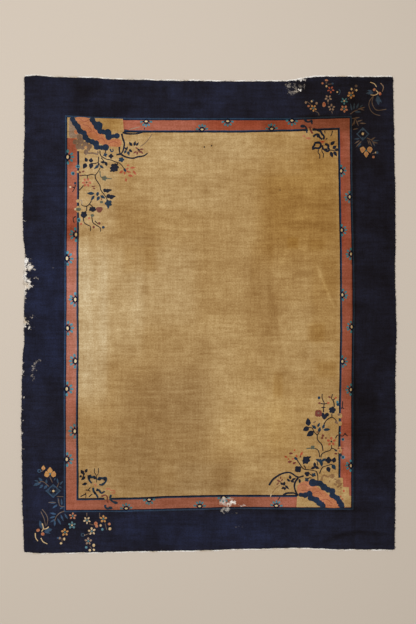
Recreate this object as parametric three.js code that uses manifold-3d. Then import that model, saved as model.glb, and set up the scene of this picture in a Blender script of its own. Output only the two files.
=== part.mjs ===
// A hand-knotted wool rug of the Peking kind, lying flat on the floor.
// It is one slab of pile on its cotton foundation, worn down to the cotton in places, with a
// frayed strip of cotton warp along each end.
// Millimetres. +Z is up, +Y runs towards the top end, and the origin is on the floor under the
// middle of the whole part.
import * as THREE from "three";
import { mergeVertices } from "three/addons/utils/BufferGeometryUtils.js";
import Module from "manifold-3d";

const wasm = await Module();
wasm.setup();

// Driving dimensions of the rug
const RUG_WIDTH = 2290;
const RUG_LENGTH = 2910;
const FOUNDATION_THICKNESS = 3;
const PILE_HEIGHT = 6;
const PILE_SETBACK = 2.5; // from the edge of the foundation in to the edge of the pile
const PILE_ROOT = 2; // how deep the pile's solid is sunk into the foundation's
const CORNER_RADIUS = 10;
const CORNER_STEPS = 3;
const STATION_PITCH = 24; // between the points along an edge
const RAGGED_EDGE = 1.6; // largest departure of one point from the edge's course

// Driving dimensions of the worn patches
const KNOT_STUB_HEIGHT = 0.6; // what is left of the knots on the bare foundation
const PATCH_POINTS = 26;
const PATCH_RAGGEDNESS = 0.3; // share of a patch's smaller half size

// Driving dimensions of the frayed warp ends
const WARP_CLEARANCE = 0.3; // between the rug's end and the strip along it
const WARP_THICKNESS = 2.4;
const WARP_STRIP_WIDTH = 4;
const LOCK_PITCH = 19;
const LOCK_WIDTH = 9;
const LOCK_TIP_WIDTH = 5;
const LOCK_SHORTEST = 4;
const LOCK_LONGEST = 10;
const LOCK_LEAN = 3; // largest sideways lean of a lock's tip

// Course of each edge: how far it stands out from a straight side, at places along that side.
const LEFT_COURSE = [
  { at: -1420, out: -7 },
  { at: -1325, out: -3 },
  { at: -1140, out: 4 },
  { at: -950, out: 4 },
  { at: -800, out: 7 },
  { at: -670, out: 11 },
  { at: -465, out: 6 },
  { at: -310, out: 3 },
  { at: -155, out: -9 },
  { at: 90, out: -8 },
  { at: 395, out: -12 },
  { at: 490, out: -1 },
  { at: 675, out: -1 },
  { at: 890, out: -5 },
  { at: 1200, out: -12 },
  { at: 1465, out: -9 },
];
const RIGHT_COURSE = [
  { at: -1435, out: -2 },
  { at: -1140, out: 1 },
  { at: -590, out: 5 },
  { at: -435, out: 2 },
  { at: -280, out: 5 },
  { at: -125, out: 9 },
  { at: 30, out: 5 },
  { at: 310, out: -1 },
  { at: 395, out: 3 },
  { at: 705, out: 2 },
  { at: 1010, out: -4 },
  { at: 1460, out: -12 },
];
const TOP_COURSE = [
  { at: -1135, out: 9 },
  { at: -1070, out: 14 },
  { at: -915, out: 4 },
  { at: -760, out: 1 },
  { at: -545, out: -10 },
  { at: -180, out: -19 },
  { at: 160, out: -22 },
  { at: 465, out: -22 },
  { at: 530, out: -16 },
  { at: 590, out: -2 },
  { at: 650, out: 6 },
  { at: 745, out: 8 },
  { at: 930, out: 6 },
];
const BOTTOM_COURSE = [
  { at: -1130, out: 9 },
  { at: -1040, out: 14 },
  { at: -760, out: 9 },
  { at: -455, out: 3 },
  { at: -55, out: -3 },
  { at: 220, out: -12 },
  { at: 560, out: -19 },
  { at: 680, out: -15 },
  { at: 805, out: -10 },
  { at: 1140, out: -8 },
];

// Each edge in turn, anticlockwise. Along gives the direction of travel, away points off the rug.
const EDGES = [
  { course: BOTTOM_COURSE, half: RUG_LENGTH / 2, along: [1, 0], away: [0, -1], seed: 100 },
  { course: RIGHT_COURSE, half: RUG_WIDTH / 2, along: [0, 1], away: [1, 0], seed: 400 },
  { course: TOP_COURSE, half: RUG_LENGTH / 2, along: [-1, 0], away: [0, 1], seed: 700 },
  { course: LEFT_COURSE, half: RUG_WIDTH / 2, along: [0, -1], away: [-1, 0], seed: 1000 },
];
const [BOTTOM_EDGE, , TOP_EDGE] = EDGES;

// Patches where the pile is gone. Bend bows a patch's ends towards +X.
const WORN_PATCHES = {
  leftEdgeUpper: { x: -1113, y: 298, halfWidth: 34, halfLength: 50, bend: 0, seed: 11 },
  leftEdgeLower: { x: -1118, y: 188, halfWidth: 31, halfLength: 38, bend: 0, seed: 42 },
  leftEdgeNick: { x: -1126, y: -52, halfWidth: 14, halfLength: 30, bend: 0, seed: 73 },
  leftCrescent: { x: -1081, y: -342, halfWidth: 9, halfLength: 60, bend: 22, seed: 104 },
  topBorder: { x: 536, y: 1385, halfWidth: 44, halfLength: 26, bend: 0, seed: 135 },
  bottomBandCore: { x: 137, y: -1162, halfWidth: 36, halfLength: 20, bend: 0, seed: 166 },
  bottomBandTail: { x: 96, y: -1190, halfWidth: 24, halfLength: 36, bend: 0, seed: 197 },
};

const WOOL = { color: 0xb1905e, roughness: 0.95, metalness: 0 };
const COTTON = { color: 0xddd5c8, roughness: 0.9, metalness: 0 };

// An uneven number from -1 to 1, the same for the same seed.
function uneven(seed) {
  return 2 * THREE.MathUtils.seededRandom(seed) - 1;
}

// How far an edge stands out at a place along its side, eased from row to row of its course.
function outAt(course, at) {
  const after = course.findIndex((row) => row.at >= at);
  const last = course.length - 1;
  const low = course[after === -1 ? last : Math.max(after - 1, 0)];
  const high = course[after === -1 ? last : after];
  if (low === high) {
    return low.out;
  }
  return THREE.MathUtils.lerp(low.out, high.out, THREE.MathUtils.smoothstep(at, low.at, high.at));
}

// A point of an edge, the given distance outside its course.
function edgePoint(edge, at, outside) {
  const off = edge.half + outAt(edge.course, at) + outside;
  const [alongX, alongY] = edge.along.map(Math.abs);
  return new THREE.Vector2(alongX * at + edge.away[0] * off, alongY * at + edge.away[1] * off);
}

// Places along an edge between its rounded corners, at an even pitch.
function stationsOf(edge) {
  const side = edge.along[0] === 0 ? RUG_LENGTH : RUG_WIDTH;
  const reach = side / 2 - CORNER_RADIUS - 2 * RAGGED_EDGE;
  const count = Math.round((2 * reach) / STATION_PITCH);
  const direction = edge.along[0] + edge.along[1];
  return Array.from({ length: count + 1 }, (_, index) => direction * (-reach + (2 * reach * index) / count));
}

// The rug's edge at a station, with its ragged step in or out.
function raggedPoints(edge, outside) {
  return stationsOf(edge).map((at, index) => {
    const step = RAGGED_EDGE * uneven(edge.seed + index);
    return edgePoint(edge, at, outside + step);
  });
}

// Where two neighbouring edges would meet without the corner's rounding.
function cornerPoint(before, after, outside) {
  const onBefore = edgePoint(before, stationsOf(before).at(-1), outside);
  const onAfter = edgePoint(after, stationsOf(after)[0], outside);
  const runsAcross = before.along[1] === 0;
  return runsAcross
    ? new THREE.Vector2(onAfter.x, onBefore.y)
    : new THREE.Vector2(onBefore.x, onAfter.y);
}

// The rug's outline, the given distance outside the edges' courses.
function rugOutline(outside) {
  const shape = new THREE.Shape();
  const [first] = raggedPoints(BOTTOM_EDGE, outside);
  shape.moveTo(first.x, first.y);
  EDGES.forEach((edge, index) => {
    const [, ...points] = raggedPoints(edge, outside);
    points.forEach((point) => shape.lineTo(point.x, point.y));
    const next = EDGES[(index + 1) % EDGES.length];
    const corner = cornerPoint(edge, next, outside);
    const [start] = raggedPoints(next, outside);
    shape.quadraticCurveTo(corner.x, corner.y, start.x, start.y);
  });
  return shape;
}

// A flat slab of an outline, from one height to another.
function slab(shape, low, high) {
  const options = { depth: high - low, bevelEnabled: false, curveSegments: CORNER_STEPS };
  return new THREE.ExtrudeGeometry(shape, options).translate(0, 0, low);
}

// The ragged outline of a worn patch.
function patchOutline(patch) {
  const raggedness = PATCH_RAGGEDNESS * Math.min(patch.halfWidth, patch.halfLength);
  const points = Array.from({ length: PATCH_POINTS }, (_, index) => {
    const angle = (2 * Math.PI * index) / PATCH_POINTS;
    const step = raggedness * uneven(patch.seed + index);
    const across = (patch.halfWidth + step) * Math.cos(angle) + patch.bend * Math.sin(angle) ** 2;
    return new THREE.Vector2(patch.x + across, patch.y + (patch.halfLength + step) * Math.sin(angle));
  });
  return new THREE.Shape(points);
}

// A closed geometry as a solid that can be joined and cut.
function solidOf(geometry) {
  geometry.deleteAttribute("normal");
  geometry.deleteAttribute("uv");
  const merged = mergeVertices(geometry);
  const vertProperties = new Float32Array(merged.attributes.position.array);
  const triVerts = new Uint32Array(merged.index.array);
  return new wasm.Manifold(new wasm.Mesh({ numProp: 3, vertProperties, triVerts }));
}

// A solid back as a geometry.
function geometryOf(solid) {
  const { vertProperties, triVerts } = solid.getMesh();
  const geometry = new THREE.BufferGeometry();
  geometry.setAttribute("position", new THREE.BufferAttribute(vertProperties, 3));
  geometry.setIndex(new THREE.BufferAttribute(triVerts, 1));
  geometry.computeVertexNormals();
  return geometry;
}

// The rug: the foundation, the pile that stands on it a little way in, and the worn patches.
function rugGeometry() {
  const pileTop = FOUNDATION_THICKNESS + PILE_HEIGHT;
  const foundation = solidOf(slab(rugOutline(0), 0, FOUNDATION_THICKNESS));
  const pile = solidOf(slab(rugOutline(-PILE_SETBACK), FOUNDATION_THICKNESS - PILE_ROOT, pileTop));
  const patchFloor = FOUNDATION_THICKNESS + KNOT_STUB_HEIGHT;
  const cutTop = pileTop + PILE_HEIGHT;
  const worn = Object.values(WORN_PATCHES).reduce(
    (rug, patch) => rug.subtract(solidOf(slab(patchOutline(patch), patchFloor, cutTop))),
    foundation.add(pile),
  );
  return geometryOf(worn);
}

// One lock of frayed warp: its two root points and its two tip points, in order along the edge.
function lockPoints(edge, at, seed) {
  const direction = edge.along[0];
  const root = WARP_CLEARANCE + WARP_STRIP_WIDTH + RAGGED_EDGE;
  const length = THREE.MathUtils.mapLinear(uneven(seed), -1, 1, LOCK_SHORTEST, LOCK_LONGEST);
  const lean = LOCK_LEAN * uneven(seed + edge.seed);
  const ends = [
    { offset: -LOCK_WIDTH / 2, out: root },
    { offset: lean - LOCK_TIP_WIDTH / 2, out: root + length },
    { offset: lean + LOCK_TIP_WIDTH / 2, out: root + length },
    { offset: LOCK_WIDTH / 2, out: root },
  ];
  return ends.map((end) => edgePoint(edge, at + direction * end.offset, end.out));
}

// A frayed warp end: a narrow strip along the rug's end, with locks that lie out from it.
function warpEndGeometry(edge) {
  const inner = raggedPoints(edge, WARP_CLEARANCE);
  const stations = stationsOf(edge);
  const direction = edge.along[0];
  const first = stations[0];
  const span = Math.abs(stations.at(-1) - first) - LOCK_WIDTH;
  const count = Math.floor(span / LOCK_PITCH);
  const locks = Array.from({ length: count }, (_, index) => {
    const at = first + direction * (LOCK_WIDTH / 2 + (span * (index + 0.5)) / count);
    return lockPoints(edge, at, 2 * edge.seed + index);
  });
  const outer = locks.flat().reverse();
  return slab(new THREE.Shape([...inner, ...outer]), 0, WARP_THICKNESS);
}

// One named piece with a material of its own.
function piece(name, geometry, finish) {
  const mesh = new THREE.Mesh(geometry, new THREE.MeshStandardMaterial(finish));
  mesh.name = name;
  return mesh;
}

const rug = new THREE.Group();
rug.add(
  piece("rug", rugGeometry(), WOOL),
  piece("warp_end_top", warpEndGeometry(TOP_EDGE), COTTON),
  piece("warp_end_bottom", warpEndGeometry(BOTTOM_EDGE), COTTON),
);

// The whole part is moved so that the origin lies under its middle.
const middle = new THREE.Box3().setFromObject(rug).getCenter(new THREE.Vector3());
rug.position.set(-middle.x, -middle.y, 0);

export default rug;
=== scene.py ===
"""Looks of a worn Peking rug: its dyed wool pile, the spots worn to the cotton and the frayed ends."""

import logging
import math
import random
from collections.abc import Callable, Sequence
from dataclasses import dataclass, field
from enum import Enum
from typing import NamedTuple, Protocol

import bpy
import numpy as np
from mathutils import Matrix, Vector
from mathutils.geometry import delaunay_2d_cdt


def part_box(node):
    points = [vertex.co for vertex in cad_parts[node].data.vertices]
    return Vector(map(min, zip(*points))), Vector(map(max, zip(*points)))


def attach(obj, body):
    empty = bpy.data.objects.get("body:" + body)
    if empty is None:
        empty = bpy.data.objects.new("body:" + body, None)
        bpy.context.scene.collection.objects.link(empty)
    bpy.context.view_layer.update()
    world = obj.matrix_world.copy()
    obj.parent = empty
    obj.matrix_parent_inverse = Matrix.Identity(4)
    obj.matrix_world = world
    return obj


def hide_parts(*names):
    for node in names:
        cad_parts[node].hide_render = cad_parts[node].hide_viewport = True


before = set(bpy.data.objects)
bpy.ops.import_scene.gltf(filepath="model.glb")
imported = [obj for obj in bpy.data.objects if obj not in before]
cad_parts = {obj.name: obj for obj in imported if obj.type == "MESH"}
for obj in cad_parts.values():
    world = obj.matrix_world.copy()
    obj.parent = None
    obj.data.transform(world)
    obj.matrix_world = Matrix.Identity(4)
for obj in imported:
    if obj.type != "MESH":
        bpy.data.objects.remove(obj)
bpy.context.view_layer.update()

LOG = logging.getLogger("peking_rug")
Point = tuple[float, float]

# The drawing is charted in pixels of the photograph, x to the right and y down.
PIXEL = 0.00615
RUG_MIDDLE_PX = (208.8, 314.45)
PICTURE_PX = (416, 624)
SEED = 11


class Dye(Enum):
    """Colours of the wool, as screen bytes."""

    BORDER = (31, 31, 43)
    GUARD_BLUE = (44, 60, 80)
    GUARD_NAVY = (20, 28, 46)
    CORAL = (152, 85, 64)
    GOLD = (170, 137, 89)
    LINE_NAVY = (18, 24, 42)
    TEAL = (70, 118, 126)
    CREAM = (198, 172, 130)
    ROCK_BLUE = (35, 46, 64)
    ROCK_ORANGE = (176, 111, 75)
    CLOUD = (116, 92, 74)
    ASH = (140, 116, 96)
    SHADE = (136, 102, 68)
    STEM = (44, 37, 38)
    LEAF_DARK = (33, 35, 45)
    LEAF_BLUE = (36, 54, 70)
    RED = (166, 84, 59)
    DARK_RED = (112, 60, 50)
    ORANGE = (170, 114, 84)
    YELLOW = (180, 134, 84)
    SKY = (88, 122, 132)
    GREY_GREEN = (88, 90, 76)
    DIM_TAN = (97, 81, 69)
    DIM_BLUE = (56, 72, 90)
    PALE = (198, 174, 140)
    BACK = (96, 84, 70)


DYES = list(Dye)


class Finish(Enum):
    """Plain colours outside the wool, as screen bytes."""

    COTTON = (252, 249, 245)
    COTTON_SOILED = (196, 176, 146)
    FLOOR = (203, 191, 177)
    ROOM = (226, 222, 216)


def light_of(colour: Dye | Finish) -> tuple[float, float, float, float]:
    """Gives a colour's screen bytes as the light values that shaders take.

    Args:
        colour: The dye or plain colour.

    Returns:
        Red, green, blue and a full alpha.
    """
    shares = [byte / 255 for byte in colour.value]
    straight = [s / 12.92 if s <= 0.04045 else ((s + 0.055) / 1.055) ** 2.4 for s in shares]
    return (straight[0], straight[1], straight[2], 1.0)


def spline(points: Sequence[Point], step: float, closed: bool = False) -> list[Point]:
    """Runs a smooth line through points.

    Args:
        points: The points that the line passes.
        step: How far apart the line's own points are.
        closed: Whether the line comes back to its first point.

    Returns:
        The line's points; a closed line doesn't repeat its first one.
    """
    count = len(points)
    spans = count if closed else count - 1
    line: list[Point] = []
    for span in range(spans):
        if closed:
            four = [points[(span + k) % count] for k in (-1, 0, 1, 2)]
        else:
            four = [points[min(max(span + k, 0), count - 1)] for k in (-1, 0, 1, 2)]
        before, start, end, after = (np.array(p, float) for p in four)
        pieces = max(1, round(float(np.linalg.norm(end - start)) / step))
        for piece in range(pieces):
            t = piece / pieces
            bent = 2 * start + (end - before) * t
            bent = bent + (2 * before - 5 * start + 4 * end - after) * t * t
            bent = bent + (3 * start - before - 3 * end + after) * t**3
            line.append((float(bent[0]) / 2, float(bent[1]) / 2))
    if not closed:
        line.append((float(points[-1][0]), float(points[-1][1])))
    return line


def turned(x: float, y: float, along: float, across: float, turn: float) -> Point:
    """Gives a point of a turned shape.

    Args:
        x: The shape's middle, in pixels to the right.
        y: The shape's middle, in pixels down.
        along: How far the point lies in the shape's own direction.
        across: How far it lies to the left of that.
        turn: The shape's direction in degrees, 0 to the right and 90 up the picture.

    Returns:
        The point in the picture.
    """
    angle = math.radians(turn)
    dx = along * math.cos(angle) - across * math.sin(angle)
    dy = along * math.sin(angle) + across * math.cos(angle)
    return (x + dx, y - dy)


class Motif(Protocol):
    """Anything that can be drawn in the rug's pattern."""

    def draw(self, pattern: "Pattern") -> None:
        """Adds its shapes to the pattern."""


@dataclass
class Pattern:
    """Shapes of the drawing in painting order, where a later shape lies over the earlier ones."""

    shapes: list[tuple[list[Point], Dye]] = field(default_factory=list)
    hand: random.Random = field(default_factory=lambda: random.Random(SEED))

    def fill(self, outline: Sequence[Point], dye: Dye) -> None:
        """Adds one filled shape, given its corners in pixels."""
        self.shapes.append((list(outline), dye))

    def shaken(self, by: float) -> float:
        """Gives a small uneven step of the weaver's hand."""
        return self.hand.uniform(-by, by)

    def draw(self, chart: Sequence[Motif]) -> None:
        """Draws the motifs of a chart in turn."""
        for motif in chart:
            motif.draw(self)


@dataclass(frozen=True)
class Patch:
    """A filled area with given corners."""

    dye: Dye
    corners: tuple[Point, ...]
    rounded: bool = True

    STEP = 1.5

    def draw(self, pattern: Pattern) -> None:
        """Fills the area."""
        outline = spline(self.corners, self.STEP, closed=True) if self.rounded else self.corners
        pattern.fill(outline, self.dye)


@dataclass(frozen=True)
class Dot:
    """A bud, a berry or the heart of a flower."""

    dye: Dye
    x: float
    y: float
    half_width: float
    half_height: float = 0.0
    turn: float = 0.0

    SMALL = 2.2
    FEW_CORNERS = 8
    MANY_CORNERS = 14
    UNEVEN = 0.07

    def draw(self, pattern: Pattern) -> None:
        """Fills an uneven oval.

        Args:
            pattern: The drawing.
        """
        tall = self.half_height or self.half_width
        count = self.FEW_CORNERS if max(tall, self.half_width) < self.SMALL else self.MANY_CORNERS
        outline: list[Point] = []
        for n in range(count):
            angle = 2 * math.pi * n / count
            swell = 1 + pattern.shaken(self.UNEVEN)
            along = self.half_width * swell * math.cos(angle)
            across = tall * swell * math.sin(angle)
            outline.append(turned(self.x, self.y, along, across, self.turn))
        pattern.fill(outline, self.dye)


@dataclass(frozen=True)
class Stem:
    """A stem, tendril or other drawn line that thins towards its end."""

    dye: Dye
    width: float
    points: tuple[Point, ...]
    tip: float = 0.75

    STEP = 1.3
    UNEVEN = 0.12

    def draw(self, pattern: Pattern) -> None:
        """Fills the line piece by piece.

        Args:
            pattern: The drawing.
        """
        line = np.array(spline(self.points, self.STEP))
        ahead = np.gradient(line, axis=0)
        ahead /= np.maximum(np.linalg.norm(ahead, axis=1, keepdims=True), 1e-6)
        side = np.stack([-ahead[:, 1], ahead[:, 0]], axis=1)
        share = np.linspace(1.0, self.tip, len(line))
        uneven = np.array([1 + pattern.shaken(self.UNEVEN) for _ in line])
        half = (self.width / 2 * share * uneven)[:, None]
        left = line + side * half
        right = line - side * half
        for n in range(len(line) - 1):
            quad = [left[n], left[n + 1], right[n + 1], right[n]]
            pattern.fill([(float(p[0]), float(p[1])) for p in quad], self.dye)


@dataclass(frozen=True)
class Leaf:
    """A plain blade, widest nearer its foot, with its tip in the direction of turn."""

    dye: Dye
    x: float
    y: float
    length: float
    width: float
    turn: float

    PIECES = 6
    FULLNESS = 0.56
    FOOT_POWER = 0.8
    UNEVEN = 0.12

    def draw(self, pattern: Pattern) -> None:
        """Fills the blade.

        Args:
            pattern: The drawing.
        """
        far, near = [], []
        for n in range(self.PIECES + 1):
            t = n / self.PIECES
            along = self.length * (t - 0.5)
            belly = math.sin(math.pi * t**self.FOOT_POWER)
            across = self.width * self.FULLNESS * belly * (1 + pattern.shaken(self.UNEVEN))
            far.append(turned(self.x, self.y, along, across, self.turn))
            near.append(turned(self.x, self.y, along, -across, self.turn))
        pattern.fill(far + near[-2:0:-1], self.dye)


@dataclass(frozen=True)
class Lobed:
    """A leaf or flower seen as one body with several lobes."""

    dye: Dye
    x: float
    y: float
    reach: float
    lobes: int
    turn: float
    depth: float = 0.42
    squat: float = 1.0

    LOBE_CORNERS = 6
    LOBE_POWER = 0.9
    UNEVEN = 0.06

    def draw(self, pattern: Pattern) -> None:
        """Fills the body, one lobe in the direction of turn.

        Args:
            pattern: The drawing.
        """
        outline: list[Point] = []
        count = self.lobes * self.LOBE_CORNERS
        for n in range(count):
            angle = 360 * n / count
            wave = abs(math.cos(math.radians(angle) * self.lobes / 2)) ** self.LOBE_POWER
            reach = self.reach * (1 - self.depth + self.depth * wave) * (1 + pattern.shaken(self.UNEVEN))
            px, py = turned(0, 0, reach, 0, angle + self.turn)
            outline.append((self.x + px, self.y + py * self.squat))
        pattern.fill(outline, self.dye)


@dataclass(frozen=True)
class Bloom:
    """A small flower of separate petals round a heart."""

    dye: Dye
    heart: Dye
    x: float
    y: float
    reach: float = 3.6
    petals: int = 5
    turn: float = 270.0
    plump: float = 1.9
    heart_size: float = 0.9

    # A petal's middle and half length as shares of the reach, and how unevenly it is turned and filled.
    PETAL_PLACE = 0.66
    PETAL_HALF = 0.36
    UNEVEN_TURN = 6
    UNEVEN_WIDTH = 0.1

    def draw(self, pattern: Pattern) -> None:
        """Fills the petals and then the heart.

        Args:
            pattern: The drawing.
        """
        for n in range(self.petals):
            turn = self.turn + 360 * n / self.petals + pattern.shaken(self.UNEVEN_TURN)
            x, y = turned(self.x, self.y, self.reach * self.PETAL_PLACE, 0, turn)
            width = self.plump * (1 + pattern.shaken(self.UNEVEN_WIDTH))
            Dot(self.dye, x, y, self.reach * self.PETAL_HALF, width / 2, turn).draw(pattern)
        Dot(self.heart, self.x, self.y, self.heart_size).draw(pattern)


@dataclass(frozen=True)
class HalfRosette:
    """A half flower that grows from one of the band's lines, with its face in the direction of facing."""

    x: float
    y: float
    facing: float
    size: float = 1.0

    # Half sizes in pixels at size 1, along and across the facing or the petal.
    CUP = (2.5, 2.6)
    HEART = (1.0, 1.6)
    HEART_PLACE = 0.2
    PETAL = (1.5, 1.1)
    # Each petal as degrees from the facing and pixels from the middle.
    PETALS = ((-84, 4.9), (-40, 4.4), (0, 4.3), (40, 4.4), (84, 4.9))
    UNEVEN_TURN = 5
    SPOKE_START = 1.5
    SPOKE_WIDTH = 1.5
    SPOKE_TIP = 0.8

    def _oval(self, dye: Dye, place: Point, halves: Point, turn: float, pattern: Pattern) -> None:
        """Fills one oval of the flower at its size."""
        Dot(dye, *place, halves[0] * self.size, halves[1] * self.size, turn).draw(pattern)

    def draw(self, pattern: Pattern) -> None:
        """Fills the dark spokes, the petals and the pale heart.

        Args:
            pattern: The drawing.
        """
        self._oval(Dye.LINE_NAVY, (self.x, self.y), self.CUP, self.facing, pattern)
        for aside, reach in self.PETALS:
            turn = self.facing + aside + pattern.shaken(self.UNEVEN_TURN)
            near = turned(self.x, self.y, self.SPOKE_START * self.size, 0, turn)
            far = turned(self.x, self.y, reach * self.size, 0, turn)
            Stem(Dye.LINE_NAVY, self.SPOKE_WIDTH, (near, far), tip=self.SPOKE_TIP).draw(pattern)
            self._oval(Dye.TEAL, far, self.PETAL, turn, pattern)
        heart = turned(self.x, self.y, self.HEART_PLACE, 0, self.facing)
        self._oval(Dye.CREAM, heart, self.HEART, self.facing, pattern)


@dataclass(frozen=True)
class RockChain:
    """A drawn rock: round lobes in a row, each as x, y and half width."""

    dye: Dye
    lobes: tuple[tuple[float, float, float], ...]

    NECK = 0.8

    def draw(self, pattern: Pattern) -> None:
        """Fills the lobes and the necks between them.

        Args:
            pattern: The drawing.
        """
        for x, y, half in self.lobes:
            Dot(self.dye, x, y, half).draw(pattern)
        for (x0, y0, half0), (x1, y1, half1) in zip(self.lobes, self.lobes[1:]):
            long = math.hypot(x1 - x0, y1 - y0)
            side = ((y0 - y1) / long * self.NECK, (x1 - x0) / long * self.NECK)
            neck = [
                (x0 + side[0] * half0, y0 + side[1] * half0),
                (x1 + side[0] * half1, y1 + side[1] * half1),
                (x1 - side[0] * half1, y1 - side[1] * half1),
                (x0 - side[0] * half0, y0 - side[1] * half0),
            ]
            pattern.fill(neck, self.dye)


@dataclass(frozen=True)
class Lozenge:
    """A square on its corner."""

    dye: Dye
    x: float
    y: float
    half_width: float
    half_height: float

    CORNERS = ((1, 0), (0, 1), (-1, 0), (0, -1))

    def draw(self, pattern: Pattern) -> None:
        """Fills the lozenge."""
        outline = [(self.x + a * self.half_width, self.y + b * self.half_height) for a, b in self.CORNERS]
        pattern.fill(outline, self.dye)


@dataclass(frozen=True)
class Blade:
    """A leaf drawn from its foot to its tip."""

    dye: Dye
    foot_x: float
    foot_y: float
    tip_x: float
    tip_y: float
    width: float

    def draw(self, pattern: Pattern) -> None:
        """Fills the leaf.

        Args:
            pattern: The drawing.
        """
        dx = self.tip_x - self.foot_x
        dy = self.foot_y - self.tip_y
        x = (self.foot_x + self.tip_x) / 2
        y = (self.foot_y + self.tip_y) / 2
        turn = math.degrees(math.atan2(dy, dx))
        Leaf(self.dye, x, y, math.hypot(dx, dy), self.width, turn).draw(pattern)


def many(kind: Callable[..., Motif], dye: Dye, *rows: Sequence[float]) -> list[Motif]:
    """Gives motifs of one kind and dye.

    Args:
        kind: The motif's class.
        dye: Its colour.
        rows: For each motif its other values, in the class's order.

    Returns:
        The motifs.
    """
    return [kind(dye, *row) for row in rows]


def strokes(dye: Dye, width: float, *rows: Sequence[float]) -> list[Motif]:
    """Gives stems of one dye and width, each row being x and y of its points in turn."""
    return [Stem(dye, width, tuple(zip(row[::2], row[1::2]))) for row in rows]


# Charts of the sprays, in pixels of the photograph and in painting order.

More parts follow.
